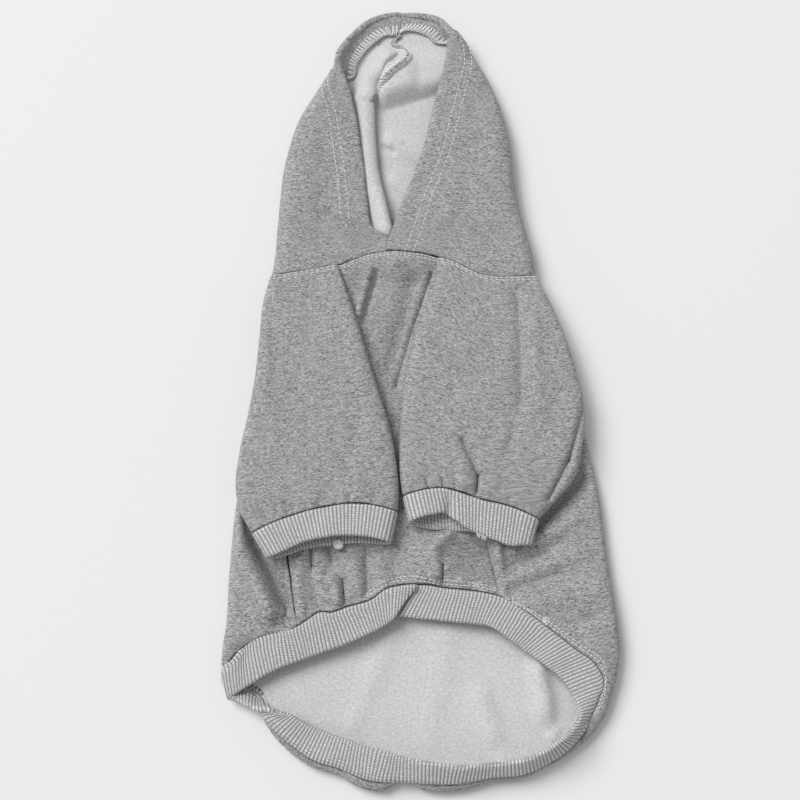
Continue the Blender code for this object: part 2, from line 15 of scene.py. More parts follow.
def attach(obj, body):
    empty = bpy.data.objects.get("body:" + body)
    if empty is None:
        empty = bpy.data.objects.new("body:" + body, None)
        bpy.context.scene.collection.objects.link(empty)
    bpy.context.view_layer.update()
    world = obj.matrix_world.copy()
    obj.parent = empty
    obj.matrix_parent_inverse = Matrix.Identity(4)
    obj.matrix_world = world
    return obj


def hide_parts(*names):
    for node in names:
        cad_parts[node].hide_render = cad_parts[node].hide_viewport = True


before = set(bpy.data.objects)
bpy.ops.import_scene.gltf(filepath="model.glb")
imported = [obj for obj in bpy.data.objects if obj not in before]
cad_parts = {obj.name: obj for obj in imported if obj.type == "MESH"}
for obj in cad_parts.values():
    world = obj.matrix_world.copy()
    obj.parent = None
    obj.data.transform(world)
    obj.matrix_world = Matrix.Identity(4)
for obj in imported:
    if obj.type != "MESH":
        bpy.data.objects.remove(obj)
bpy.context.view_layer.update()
MM = 0.001


# ---------------------------------------------------------------- surface, light and camera
# A plain pale table, one wide soft light above and to the upper left, and an even pale room.
# The camera looks steeply down from the hem's side, as the photograph does.
def soft_light(name, place, aim, width, watts):
    """A square soft light, aimed at a point."""
    light = bpy.data.lights.new(name, "AREA")
    light.size = width
    light.energy = watts
    lamp = bpy.data.objects.new(name, light)
    lamp.location = place
    lamp.rotation_euler = (Vector(aim) - Vector(place)).to_track_quat("-Z", "Y").to_euler()
    bpy.context.scene.collection.objects.link(lamp)


TABLE_HALF = 4.0          # metres
table_mesh = bpy.data.meshes.new("table")
table_mesh.from_pydata([(x * TABLE_HALF, y * TABLE_HALF, -0.0002)
                        for x, y in ((-1, -1), (1, -1), (1, 1), (-1, 1))], [], [(0, 1, 2, 3)])
table = bpy.data.objects.new("table", table_mesh)
bpy.context.scene.collection.objects.link(table)
table_paint = bpy.data.materials.new("table_paint")
table_paint.use_nodes = True
table_shader = table_paint.node_tree.nodes["Principled BSDF"]
table_shader.inputs["Base Color"].default_value = (0.84, 0.84, 0.845, 1.0)
table_shader.inputs["Roughness"].default_value = 0.7
table_shader.inputs["Specular IOR Level"].default_value = 0.2
table_mesh.materials.append(table_paint)

room = bpy.data.worlds.new("room")
room.use_nodes = True
room.node_tree.nodes["Background"].inputs["Color"].default_value = (0.995, 0.995, 1.0, 1.0)
room.node_tree.nodes["Background"].inputs["Strength"].default_value = 0.43
bpy.context.scene.world = room
bpy.context.scene.view_settings.view_transform = "Standard"
soft_light("window", (-5.8, 4.2, 8.4), (0.0, 0.0, 0.0), 6.0, 985.0)

LOOK_AT = (-0.0105, -0.013, 0.0)      # metres
LOOK_DOWN = 76.0                      # degrees above the table
LOOK_FROM = 0.7                       # metres
camera = bpy.data.objects.new("camera", bpy.data.cameras.new("camera"))
camera.data.lens = 60.0
camera.data.sensor_width = 36.0
camera.data.clip_start = 0.01
slope = math.radians(LOOK_DOWN)
camera.location = Vector(LOOK_AT) + Vector((0.0, -math.cos(slope), math.sin(slope))) * LOOK_FROM
camera.rotation_euler = (Vector(LOOK_AT) - camera.location).to_track_quat("-Z", "Y").to_euler()
bpy.context.scene.collection.objects.link(camera)
bpy.context.scene.camera = camera


# ---------------------------------------------------------------- back panel
# The back is the widest piece, of marl knit with a brushed fleece inside.  It lies on the
# table and is folded up round both sides and round the hem, to the side seams and the rib band.
CLOTH = 2.0               # thickness of the brushed knit
HALF = CLOTH / 2
SEAM_GAP = 0.3            # between pieces that are sewn together
BODY_TOP = 9.0            # height of the flattened body
UNDER_INSET = 11.0        # width of the flat strip inside the turned edge
SHORT_FLAP = 1.2          # cloth between a turned edge and the band, where the band is near
FLAP_LOWEST = 3.4         # height of the cloth's middle at the bottom of a flap's deepest trough

Rim = namedtuple("Rim", "x y high turn seam_x seam_y")
Hem = namedtuple("Hem", "x y high turn seam_x seam_y edge_x edge_y edge_z")
Crease = namedtuple("Crease", "x1 y1 x2 y2 wide rise")

# The fold down the left side.  high: height of the fold; turn: degrees that the cloth turns
# over; seam: where the turned flap ends.
LEFT_SIDE = [
    Rim(-77.5, 51.2, 9.0, 180, -71.0, 51.2),
    Rim(-79.0, 38.0, 9.0, 180, -71.0, 38.0),
    Rim(-81.5, 20.0, 9.0, 180, -70.5, 20.0),
    Rim(-84.0, 0.0, 9.0, 180, -69.0, 0.0),
    Rim(-87.0, -25.0, 9.0, 180, -66.0, -25.0),
    Rim(-91.5, -50.0, 9.0, 180, -65.5, -50.0),
    Rim(-94.5, -72.0, 9.0, 180, -66.6, -72.0),
    Rim(-96.0, -92.0, 9.0, 180, -68.4, -92.0),
    Rim(-96.8, -108.0, 9.2, 180, -65.6, -108.0),
    Rim(-97.0, -122.0, 10.8, 180, -63.8, -121.0),
]

# The hem from the left side seam round the back to the right one; edge: the band's free edge.
HEM = [
    Hem(-97.2, -129.5, 11.5, 180, -62.0, -131.3, -58.0, -147.5, 9.5),
    Hem(-98.0, -135.0, 11.0, 180, -74.0, -134.3, -69.0, -151.5, 9.3),
    Hem(-98.6, -139.5, 10.5, 180, -84.0, -137.8, -77.5, -155.5, 8.8),
    Hem(-99.0, -144.0, 9.5, 180, -90.6, -142.8, -85.0, -160.1, 8.0),
    Hem(-99.2, -148.5, 8.5, 160, None, None, -90.5, -163.5, 7.0),
    Hem(-98.6, -153.0, 6.0, 100, None, None, -94.5, -166.6, 6.0),
    Hem(-95.8, -156.2, 4.8, 55, None, None, -92.6, -167.4, 6.2),
    Hem(-91.0, -158.3, 4.0, 20, None, None, -90.5, -168.0, 6.5),
    Hem(-84.5, -160.8, 4.0, 20, None, None, -85.5, -170.0, 9.0),
    Hem(-78.6, -165.0, 4.0, 25, None, None, -80.0, -171.6, 11.5),
    Hem(-77.0, -169.8, 5.0, 70, None, None, -74.5, -171.8, 13.0),
    Hem(-78.0, -174.6, 7.0, 105, None, None, -69.6, -172.6, 12.5),
    Hem(-74.5, -181.5, 7.5, 126, None, None, -64.0, -173.6, 11.0),
    Hem(-67.0, -189.5, 8.0, 138, None, None, -57.5, -177.3, 9.5),
    Hem(-54.5, -198.3, 8.0, 142, None, None, -47.0, -182.0, 9.0),
    Hem(-40.0, -203.0, 8.0, 142, None, None, -35.0, -186.0, 9.5),
    Hem(-30.0, -208.4, 8.0, 155, None, None, -26.0, -189.0, 10.5),
    Hem(-20.0, -210.2, 8.0, 155, None, None, -17.0, -191.2, 12.0),
    Hem(-9.5, -206.0, 8.0, 105, None, None, -9.0, -193.6, 13.0),
    Hem(2.0, -210.0, 8.0, 142, None, None, 3.0, -196.0, 14.5),
    Hem(18.0, -210.0, 8.0, 142, None, None, 18.8, -197.9, 15.0),
    Hem(34.0, -206.0, 8.0, 128, None, None, 33.6, -196.8, 15.0),
    Hem(50.0, -204.0, 8.0, 124, None, None, 48.0, -195.0, 16.0),
    Hem(62.0, -198.5, 8.0, 120, None, None, 58.5, -191.0, 17.5),
    Hem(74.0, -191.6, 8.5, 130, None, None, 66.6, -185.4, 18.0),
    Hem(83.0, -184.3, 9.0, 150, None, None, 72.0, -181.0, 17.5),
    Hem(89.5, -176.0, 9.0, 180, 83.2, -175.0, 75.5, -176.5, 14.5),
    Hem(94.0, -165.5, 9.5, 180, 87.2, -165.5, 76.2, -171.0, 11.5),
    Hem(97.2, -154.5, 10.3, 180, 89.6, -157.3, 74.4, -165.0, 9.5),
    Hem(98.9, -143.0, 11.0, 180, 86.0, -149.5, 69.0, -157.0, 9.0),
    Hem(98.7, -135.0, 11.5, 180, 76.8, -142.6, 61.0, -150.3, 9.0),
    Hem(98.2, -129.0, 11.5, 180, 64.0, -132.6, 50.5, -142.5, 9.0),
    Hem(97.5, -123.0, 11.5, 180, 52.0, -123.8, 42.0, -136.4, 9.0),
    Hem(96.6, -117.0, 11.5, 180, 40.5, -116.7, 33.6, -131.3, 9.3),
]
RIGHT_SIDE = [
    Rim(95.2, -104.0, 9.4, 180, 37.0, -103.5),
    Rim(94.0, -92.0, 9.0, 180, 34.5, -92.0),
    Rim(91.6, -68.0, 9.0, 180, 33.5, -68.0),
    Rim(88.0, -46.0, 9.0, 180, 33.0, -46.0),
    Rim(84.0, -25.0, 9.0, 180, 33.0, -25.0),
    Rim(77.5, 0.0, 9.0, 180, 45.0, 0.0),
    Rim(71.0, 20.0, 9.0, 180, 51.0, 20.0),
    Rim(65.0, 38.0, 9.0, 180, 53.0, 38.0),
    Rim(59.5, 51.2, 9.0, 180, 53.0, 51.2),
]

# Soft ridges and troughs of the turned flaps, and of the fleece that shows in the hem's mouth.
FLAP_CREASES = [
    Crease(-72.5, -94.0, -68.8, -109.0, 2.6, 3.0),
    Crease(-93.0, -92.0, -74.0, -128.0, 6.0, 3.4),
    Crease(-94.0, -117.0, -80.0, -133.0, 4.0, -1.2),
    Crease(38.0, -86.0, 38.6, -104.0, 3.4, 3.0),       # the flap's edge beside the belly's hollow
    Crease(46.0, -93.6, 80.0, -77.0, 5.4, 1.2),
    Crease(47.0, -100.2, 72.0, -89.0, 5.6, -2.0),
    Crease(46.0, -107.2, 84.0, -93.6, 6.6, 1.4),
    Crease(45.0, -114.4, 70.0, -105.2, 5.4, -2.2),
    Crease(56.0, -122.0, 88.0, -112.0, 7.0, 1.2),
    Crease(72.0, -131.0, 91.0, -124.5, 5.4, -1.0),
    Crease(58.0, -80.0, 84.0, -55.0, 8.0, -5.2),       # in the shadow of the right sleeve
    Crease(84.0, -140.0, 93.0, -152.0, 5.0, 1.0),
]
# The deep valley below the left cuff, and its cut from left to right: place on the flat cloth
# and how far it is moved up.
VALLEY = np.array([(-90.5, -76.0), (-87.1, -84.5), (-80.4, -97.0), (-74.6, -107.7), (-68.4, -120.6)])
VALLEY_CUT = np.array([
    (-17.0, 0.0), (-13.0, 1.6), (-9.0, 4.2), (-6.4, 5.2), (-4.6, 4.2), (-2.8, 0.4), (-1.2, -4.6),
    (0.6, -6.2), (3.0, -5.6), (5.2, -3.2), (7.0, -1.0), (9.5, 0.0),
])
FLOOR_CREASES = [
    Crease(57.5, -150.0, 64.5, -184.0, 5.4, 5.4),
    Crease(66.0, -148.0, 74.0, -172.0, 4.0, -0.9),
    Crease(29.0, -164.0, 41.0, -198.0, 7.0, 2.2),
    Crease(-14.0, -134.0, -34.0, -180.0, 8.0, 1.1),
    Crease(14.0, -132.0, 4.0, -188.0, 9.0, 0.9),
    Crease(-66.0, -158.0, -46.0, -178.0, 6.0, 0.9),
]


def blend(start, end, share):
    """The value at this share of the way from start to end."""
    return start + (end - start) * share


def ease(share):
    """A smooth step from 0 to 1, flat at both ends."""
    share = np.clip(share, 0.0, 1.0)
    return share * share * (3.0 - 2.0 * share)


def smooth_curve(knots, values, places):
    """A smooth curve through values at the knots, read at the places."""
    steps = np.diff(knots).reshape((-1,) + (1,) * (values.ndim - 1))
    slopes = np.diff(values, axis=0) / steps
    tangents = np.empty_like(values)
    tangents[0], tangents[-1] = slopes[0], slopes[-1]
    tangents[1:-1] = (slopes[:-1] * steps[1:] + slopes[1:] * steps[:-1]) / (steps[:-1] + steps[1:])
    low = np.clip(np.searchsorted(knots, places, side="right") - 1, 0, len(knots) - 2)
    share = ((places - knots[low]) / np.diff(knots)[low]).reshape((-1,) + (1,) * (values.ndim - 1))
    run = steps[low]
    square, cube = share ** 2, share ** 3
    return (values[low] * (2 * cube - 3 * square + 1)
            + tangents[low] * run * (cube - 2 * square + share)
            + values[low + 1] * (3 * square - 2 * cube)
            + tangents[low + 1] * run * (cube - square))


def lengths_along(spots):
    """Distance along a line of points, from its first one."""
    return np.concatenate([[0.0], np.cumsum(np.linalg.norm(np.diff(spots, axis=0), axis=-1))])


def places_along(length, step, tight):
    """Even places along a length, with closer ones at its ends where the edge is rounded."""
    places = np.linspace(0.0, length, max(3, round(length / step) + 1))
    if tight:
        near = np.array([0.12, 0.4, 0.85, 1.5])
        between = (places > 1.9) & (places < length - 1.9)
        places = places[(places == 0) | (places == length) | between]
        places = np.unique(np.concatenate([places, near, length - near]))
    return places


def refine(rows, row_step, column_step, tight=(True, True), lead=None):
    """A coarse grid of points made fine by smooth curves both ways.

    lead names the column whose length sets the places of the rows.
    """
    rows = np.asarray(rows, float)
    line = rows.mean(axis=1) if lead is None else rows[:, lead]
    knots = lengths_along(line)
    rows = smooth_curve(knots, rows, places_along(knots[-1], row_step, tight[0]))
    steps = np.linalg.norm(np.diff(rows, axis=1), axis=2).mean(axis=0)
    knots = np.concatenate([[0.0], np.cumsum(np.maximum(steps, 1e-3))])
    places = places_along(knots[-1], column_step, tight[1])
    return smooth_curve(knots, rows.transpose(1, 0, 2), places).transpose(1, 0, 2)


def crease_lift(spots, creases):
    """How much a table of soft ridges and troughs lifts the cloth at each point."""
    flat = spots[..., :2]
    lift = np.zeros(flat.shape[:-1])
    for crease in creases:
        start = np.array([crease.x1, crease.y1])
        run = np.array([crease.x2, crease.y2]) - start
        share = ((flat - start) @ run) / (run @ run)
        near = np.clip(share, 0.0, 1.0)
        away = np.linalg.norm(flat - start - near[..., None] * run, axis=-1)
        over = np.maximum(np.abs(share - near) * np.linalg.norm(run), 0.0)
        lift += crease.rise * np.exp(-2.6 * (away / crease.wide) ** 2) * np.exp(-(over / crease.wide))
    return lift


def bump_along(x, centre, wide):
    """A soft bump, 1 at its centre."""
    return np.exp(-((x - centre) / wide) ** 2)


def line_cut(spots, line, cut):
    """A cut swept along a line that runs up or down: how far it moves each point in each of its
    columns, and how far the point lies past the line's ends."""
    best = np.full(spots.shape[:-1], 1e9)
    signed, ended = np.zeros(spots.shape[:-1]), np.zeros(spots.shape[:-1])
    for index, (start, end) in enumerate(zip(line, line[1:])):
        run = end - start
        share = ((spots[..., :2] - start) @ run) / (run @ run)
        near = np.clip(share, 0.0, 1.0)
        gap = spots[..., :2] - start - near[..., None] * run
        away = np.linalg.norm(gap, axis=-1)
        closer = away < best
        best = np.where(closer, away, best)
        signed = np.where(closer, np.where(gap[..., 0] > 0, away, -away), signed)
        tail = (index == len(line) - 2) * np.maximum(share - 1.0, 0.0)
        head = (index == 0) * np.maximum(-share, 0.0)
        ended = np.where(closer, (tail + head) * np.linalg.norm(run), ended)
    places = np.clip(signed, cut[0, 0], cut[-1, 0]).ravel()
    moved = smooth_curve(cut[:, 0], cut[:, 1:], places).T
    return moved.reshape(-1, *signed.shape), ended


def uneven(spots, size, rise, seed):
    """A slow, soft unevenness of the cloth, of this size across and this rise."""
    turns = np.random.default_rng(seed).uniform(0, 2 * math.pi, (5, 2))
    x, y = spots[..., 0] / size, spots[..., 1] / size
    waves = sum(np.sin(2 * math.pi * (x * math.cos(a) + y * math.sin(a)) * (0.6 + 0.25 * k) + b)
                for k, (a, b) in enumerate(turns))
    return rise * waves / 2.2


def grid_faces(rows, columns, ring=False, flip=False):
    """The faces between a grid's rows and columns; a ring closes on its first column."""
    index = np.arange(rows * columns).reshape(rows, columns)
    if ring:
        index = np.concatenate([index, index[:, :1]], axis=1)
    faces = np.stack([index[:-1, :-1], index[:-1, 1:], index[1:, 1:], index[1:, :-1]], axis=-1)
    return (faces[..., ::-1] if flip else faces).reshape(-1, 4)


def run_down(grid):
    """Distance of each point from the grid's first row."""
    return np.concatenate([np.zeros((1, grid.shape[1])),
                           np.cumsum(np.linalg.norm(np.diff(grid, axis=0), axis=2), axis=0)])


def run_across(grid):
    """Distance of each point from the grid's first column."""
    return run_down(grid.transpose(1, 0, 2)).T


def rounded(away, half):
    """Half of a cloth's thickness at a distance from its edge, where it is rounded off."""
    share = np.clip(away / half, 0.0, 1.0)
    return 0.06 + (half - 0.06) * np.sqrt(1.0 - (1.0 - share) ** 2)


def seam_half(away):
    """Half of the knit's thickness at a distance from its seam, where it turns down a little."""
    return 0.5 * HALF + 0.5 * rounded(away, HALF)


def edge_away(grid, ends=(True, True), sides=(True, True)):
    """Distance of each point from the nearest of the grid's chosen edges."""
    down, across = run_down(grid), run_across(grid)
    away = np.full(grid.shape[:2], 1e3)
    for used, distance in ((ends[0], down), (ends[1], down[-1:] - down),
                           (sides[0], across), (sides[1], across[:, -1:] - across)):
        if used:
            away = np.minimum(away, distance)
    return away


def normals_of(spots, faces):
    """The direction out of a surface at each of its points."""
    mesh = bpy.data.meshes.new("middle")
    mesh.from_pydata(spots.tolist(), [], [tuple(face) for face in faces])
    found = np.empty(len(spots) * 3, np.float32)
    mesh.vertex_normals.foreach_get("vector", found)
    bpy.data.meshes.remove(mesh)
    return found.reshape(-1, 3).astype(float)


def sew_piece(name, spots, faces, half, cloth_uv, outside, inside, relief=None):
    """A piece of cloth: outer face, inner face and rounded edge, from the middle of its cloth.

    faces look towards the outside.  relief stands proud of the outer and the inner face.
    """
    faces = [tuple(int(i) for i in face) for face in faces]
    out = normals_of(spots, faces)
    half = np.asarray(half, float)
    proud = half if relief is None else half + relief
    count = len(spots)
    points = np.concatenate([spots + out * proud[:, None], spots - out * proud[:, None]]) * MM
    points[:, 2] = np.maximum(points[:, 2], 0.0)
    edges = {}
    for face in faces:
        for start, end in zip(face, face[1:] + face[:1]):
            edges[start, end] = True
    rim = [(end, start, start + count, end + count) for start, end in edges
           if (end, start) not in edges]
    under = [tuple(i + count for i in reversed(face)) for face in faces]
    mesh = bpy.data.meshes.new(name)
    mesh.from_pydata(points.tolist(), [], faces + under + rim)
    mesh.materials.append(outside)
    mesh.materials.append(inside)
    slots = np.zeros(len(mesh.polygons), np.int32)
    slots[len(faces):len(faces) + len(under)] = 1
    mesh.polygons.foreach_set("material_index", slots)
    corners = np.empty(len(mesh.loops), np.int32)
    mesh.loops.foreach_get("vertex_index", corners)
    layer = mesh.uv_layers.new(name="cloth")
    layer.data.foreach_set("uv", np.asarray(cloth_uv, np.float32)[corners % count].ravel())
    mesh.shade_smooth()
    mesh.update()
    piece = bpy.data.objects.new(name, mesh)
    bpy.context.scene.collection.objects.link(piece)
    return piece, out


def flecks_group():
    """Marl: fine slanting flecks of paler and darker fibre, over slow clouds of the same grey."""
    tree = bpy.data.node_groups.new("marl_flecks", "ShaderNodeTree")
    for title, kind in (("Cloth", "NodeSocketVector"), ("Stretch", "NodeSocketVector"),
                        ("Dark", "NodeSocketColor"), ("Pale", "NodeSocketColor"),
                        ("Fleck mm", "NodeSocketFloat"), ("Clouds", "NodeSocketFloat")):
        tree.interface.new_socket(title, in_out="INPUT", socket_type=kind)
    tree.interface.new_socket("Color", in_out="OUTPUT", socket_type="NodeSocketColor")
    tree.interface.new_socket("Height", in_out="OUTPUT", socket_type="NodeSocketFloat")
    node, link = tree.nodes.new, tree.links.new
    given, result = node("NodeGroupInput"), node("NodeGroupOutput")
    slant = node("ShaderNodeMapping")
    slant.inputs["Rotation"].default_value = (0.0, 0.0, math.radians(8.0))
    link(given.outputs["Stretch"], slant.inputs["Scale"])
    link(given.outputs["Cloth"], slant.inputs["Vector"])
    per_mm = node("ShaderNodeMath")
    per_mm.operation = "DIVIDE"
    per_mm.inputs[0].default_value = 1.0
    link(given.outputs["Fleck mm"], per_mm.inputs[1])
    streaks = node("ShaderNodeTexNoise")
    streaks.inputs["Detail"].default_value = 3.0
    streaks.inputs["Roughness"].default_value = 0.7
    link(slant.outputs["Vector"], streaks.inputs["Vector"])
    link(per_mm.outputs[0], streaks.inputs["Scale"])
    specks = node("ShaderNodeTexNoise")
    specks.inputs["Scale"].default_value = 1.6
    specks.inputs["Detail"].default_value = 2.0
    link(given.outputs["Cloth"], specks.inputs["Vector"])
    fine = node("ShaderNodeMix")
    fine.inputs["Factor"].default_value = 0.3
    link(streaks.outputs["Fac"], fine.inputs["A"])
    link(specks.outputs["Fac"], fine.inputs["B"])
    long_streaks = node("ShaderNodeTexNoise")
    long_streaks.inputs["Scale"].default_value = 0.62
    long_streaks.inputs["Detail"].default_value = 2.0
    link(slant.outputs["Vector"], long_streaks.inputs["Vector"])
    both = node("ShaderNodeMix")
    both.inputs["Factor"].default_value = 0.16
    link(fine.outputs["Result"], both.inputs["A"])
    link(long_streaks.outputs["Fac"], both.inputs["B"])
    sharp = node("ShaderNodeMapRange")
    sharp.inputs["From Min"].default_value = 0.4
    sharp.inputs["From Max"].default_value = 0.6
    link(both.outputs["Result"], sharp.inputs["Value"])
    clouds = node("ShaderNodeTexNoise")
    clouds.inputs["Scale"].default_value = 0.07
    clouds.inputs["Detail"].default_value = 2.0
    link(given.outputs["Cloth"], clouds.inputs["Vector"])
    drift = node("ShaderNodeMapRange")
    drift.inputs["To Min"].default_value = -1.0
    link(clouds.outputs["Fac"], drift.inputs["Value"])
    sway = node("ShaderNodeMath")
    sway.operation = "MULTIPLY_ADD"
    link(drift.outputs["Result"], sway.inputs[0])
    link(given.outputs["Clouds"], sway.inputs[1])
    link(sharp.outputs["Result"], sway.inputs[2])
    shade = node("ShaderNodeMix")
    shade.data_type = "RGBA"
    link(sway.outputs[0], shade.inputs["Factor"])
    link(given.outputs["Dark"], shade.inputs[6])
    link(given.outputs["Pale"], shade.inputs[7])
    link(shade.outputs[2], result.inputs["Color"])
    link(both.outputs["Result"], result.inputs["Height"])
    return tree


FLECKS = flecks_group()


def knit_material(name, dark, pale, stretch, fleck, clouds, bump, sheen):
    """A knit or brushed cloth of flecked fibre, whose pattern follows the piece's own cloth."""
    material = bpy.data.materials.new(name)
    material.use_nodes = True
    tree = material.node_tree
    shader = tree.nodes["Principled BSDF"]
    cloth = tree.nodes.new("ShaderNodeUVMap")
    cloth.uv_map = "cloth"
    flecks = tree.nodes.new("ShaderNodeGroup")
    flecks.node_tree = FLECKS
    flecks.inputs["Stretch"].default_value = stretch
    flecks.inputs["Dark"].default_value = dark + (1.0,)
    flecks.inputs["Pale"].default_value = pale + (1.0,)
    flecks.inputs["Fleck mm"].default_value = fleck
    flecks.inputs["Clouds"].default_value = clouds
    tree.links.new(cloth.outputs["UV"], flecks.inputs["Cloth"])
    tree.links.new(flecks.outputs["Color"], shader.inputs["Base Color"])
    relief = tree.nodes.new("ShaderNodeBump")
    relief.inputs["Strength"].default_value = bump
    relief.inputs["Distance"].default_value = 0.5 * MM
    tree.links.new(flecks.outputs["Height"], relief.inputs["Height"])
    tree.links.new(relief.outputs["Normal"], shader.inputs["Normal"])
    shader.inputs["Roughness"].default_value = 0.95
    shader.inputs["Specular IOR Level"].default_value = 0.15
    shader.inputs["Sheen Weight"].default_value = sheen
    shader.inputs["Sheen Roughness"].default_value = 0.6
    return material


# Colours are linear RGB, read from the photograph.
MARL = knit_material("marl_knit", (0.105, 0.112, 0.110), (0.57, 0.58, 0.575), (0.25, 1.0, 1.0),
                     fleck=0.5, clouds=0.08, bump=0.7, sheen=0.12)
FLEECE = knit_material("brushed_fleece", (0.52, 0.52, 0.518), (0.715, 0.715, 0.713), (0.7, 1.0, 1.0),
                       fleck=1.1, clouds=0.2, bump=0.35, sheen=0.3)


def outward(rows, index):
    """The level direction out of an outline at one of its rows, which run anticlockwise."""
    before = rows[max(index - 1, 0)]
    after = rows[min(index + 1, len(rows) - 1)]
    along = np.array([after.x - before.x, after.y - before.y])
    along /= np.linalg.norm(along)
    return np.array([along[1], -along[0], 0.0])


def turned_edge(row, out, steps=8):
    """The cloth's middle as it leaves the table and turns over at a folded edge."""
    radius = (row.high - CLOTH) / 2
    turn = math.radians(row.turn)
    reach = radius * math.sin(min(turn, math.pi / 2)) + HALF * min(turn / (math.pi / 2), 1.0)
    start = np.array([row.x, row.y, 0.0]) - out * reach
    angles = turn * np.arange(steps + 1) / steps
    spots = start + out * (radius * np.sin(angles))[:, None]
    spots[:, 2] = HALF + radius * (1 - np.cos(angles))
    return spots


def seam_point(row, arc):
    """Where the turned cloth meets the next piece."""
    if row.seam_x is not None:
        return np.array([row.seam_x, row.seam_y, row.high - HALF])
    way = arc[-1] - arc[-2]
    return arc[-1] + way / np.linalg.norm(way) * SHORT_FLAP


def rim_section(rows, index):
    """One section of the back: a flat strip, the fold, and the flap to its seam."""
    out = outward(rows, index)
    arc = turned_edge(rows[index], out)
    seam = seam_point(rows[index], arc)
    flap = [blend(arc[-1], seam, share) for share in (0.34, 0.67, 1.0)]
    return np.array([arc[0] - out * UNDER_INSET] + list(arc) + flap)


rim = LEFT_SIDE + HEM + RIGHT_SIDE
back_sections = np.array([rim_section(rim, index) for index in range(len(rim))])
for end in (0, -1):
    back_sections[end, :, 1] = rim[end].y
RIM_STEP = 1.25           # from one row of the rim to the next
FOLD_COLUMNS = 19         # columns from the flat strip over the fold
FLAP_COLUMNS = 40         # and from there to the seam
FLAP_CROWDING = 1.3       # above 1, the flap's columns lie closer towards the seam
HEM_CORNER = (-88.0, -152.0)
CORNER_REACH = 17.0       # how far round that corner the rows' inner ends are drawn straight
CORNER_COLUMNS = 6        # over this many columns
CORNER_ROUNDS = 600       # rounds of smoothing
rim_knots = lengths_along(back_sections[:, -1])
rim_places = np.linspace(0.0, rim_knots[-1], round(rim_knots[-1] / RIM_STEP) + 1)
rim_fine = smooth_curve(rim_knots, back_sections, rim_places)
share_knots = np.concatenate([[0.0, 0.16], 0.16 + 0.34 * np.arange(1, 9) / 8, [0.66, 0.84, 1.0]])
flap_shares = 1.0 - (1.0 - np.linspace(0.0, 1.0, FLAP_COLUMNS)[1:]) ** FLAP_CROWDING
share_places = np.concatenate([np.linspace(0.0, 0.5, FOLD_COLUMNS), 0.5 + 0.5 * flap_shares])
rim_fine = smooth_curve(share_knots, rim_fine.transpose(1, 0, 2), share_places).transpose(1, 0, 2)
rim_fine[..., 2] = np.maximum(rim_fine[..., 2], HALF)
# Behind the left corner of the hem the rows would cross, so their inner ends are drawn straight.
from_corner = np.linalg.norm(rim_fine[:, 0, :2] - HEM_CORNER, axis=1)
at_corner = ease((CORNER_REACH - from_corner) / 6.0)[:, None]
inner_ends = rim_fine[:, 0, :2].copy()
for _ in range(CORNER_ROUNDS):
    halfway = 0.5 * (inner_ends[2:] + inner_ends[:-2])
    inner_ends[1:-1] += 0.5 * at_corner[1:-1] * (halfway - inner_ends[1:-1])
for column in range(CORNER_COLUMNS):
    straight = blend(inner_ends, rim_fine[:, CORNER_COLUMNS, :2], column / CORNER_COLUMNS)
    rim_fine[:, column, :2] = blend(rim_fine[:, column, :2], straight, at_corner)
on_top = ease((share_places - 0.42) / 0.12)[None, :]
flap_weight = on_top * ease((rim_fine[..., 2] - 5.0) / 3.0)
to_seam = np.linalg.norm(rim_fine - rim_fine[:, -1:], axis=2)
rim_fine[..., 2] += flap_weight * (crease_lift(rim_fine, FLAP_CREASES)
                                   + uneven(rim_fine, 34.0, 0.35, 4)) * (0.35 + 0.65 * ease(to_seam / 6.0))
(valley,), past = line_cut(rim_fine, VALLEY, VALLEY_CUT)
valley = np.where(valley > 0, valley * ease((-80.0 - rim_fine[..., 1]) / 7.0), valley)
rim_fine[..., 2] += flap_weight * valley * np.exp(-(past / 4.0) ** 2) * ease((to_seam + 0.8) / 3.2)
# Beside the belly's hollow the flap stands up and then rolls down to the seam.
beside = bump_along(rim_fine[..., 1], -95.0, 12.5) * (rim_fine[..., 0] > 0) * flap_weight
rim_fine[..., 2] += beside * (2.0 * bump_along(to_seam, 3.2, 2.8)
                              - 4.2 * bump_along(to_seam, 0.0, 1.2))
rim_fine[..., 2] = np.where(on_top * rim_fine[..., 2] > 2.5,
                            np.maximum(rim_fine[..., 2], FLAP_LOWEST), rim_fine[..., 2])
rim_rows, rim_columns = rim_fine.shape[:2]

# Inside the rim the back is one level sheet, filled with even points.
inner_loop = rim_fine[:, 0, :2]
neck_line = np.linspace(inner_loop[-1], inner_loop[0], 60)[1:-1]
loop = np.concatenate([inner_loop, neck_line])
GRAIN = 3.2               # from one of those points to the next
FILL_CLEAR = 1.8          # how far they stay from the outline
xs = np.arange(-100.0, 100.0, GRAIN)
ys = np.arange(-212.0, 52.0, GRAIN)
inside_points = []
for row, y in enumerate(ys):
    for x in xs + (GRAIN / 2 if row % 2 else 0.0):
        closest = np.min(np.hypot(loop[:, 0] - x, loop[:, 1] - y))
        if closest > FILL_CLEAR:
            inside_points.append((x, y))
loop_edges = [(i, (i + 1) % len(loop)) for i in range(len(loop))]
sheet = geometry.delaunay_2d_cdt([Vector(p) for p in loop.tolist() + inside_points],
                                 loop_edges, [], 1, 1e-5)
sheet_points, _, sheet_faces, sources = sheet[:4]
rim_count = rim_rows * rim_columns
numbers, extra = {}, []
for index, source in enumerate(sources):
    if source and source[0] < rim_rows:
        numbers[index] = source[0] * rim_columns
    else:
        numbers[index] = rim_count + len(extra)
        extra.append((sheet_points[index].x, sheet_points[index].y, HALF))
back_spots = np.concatenate([rim_fine.reshape(-1, 3), np.array(extra)])
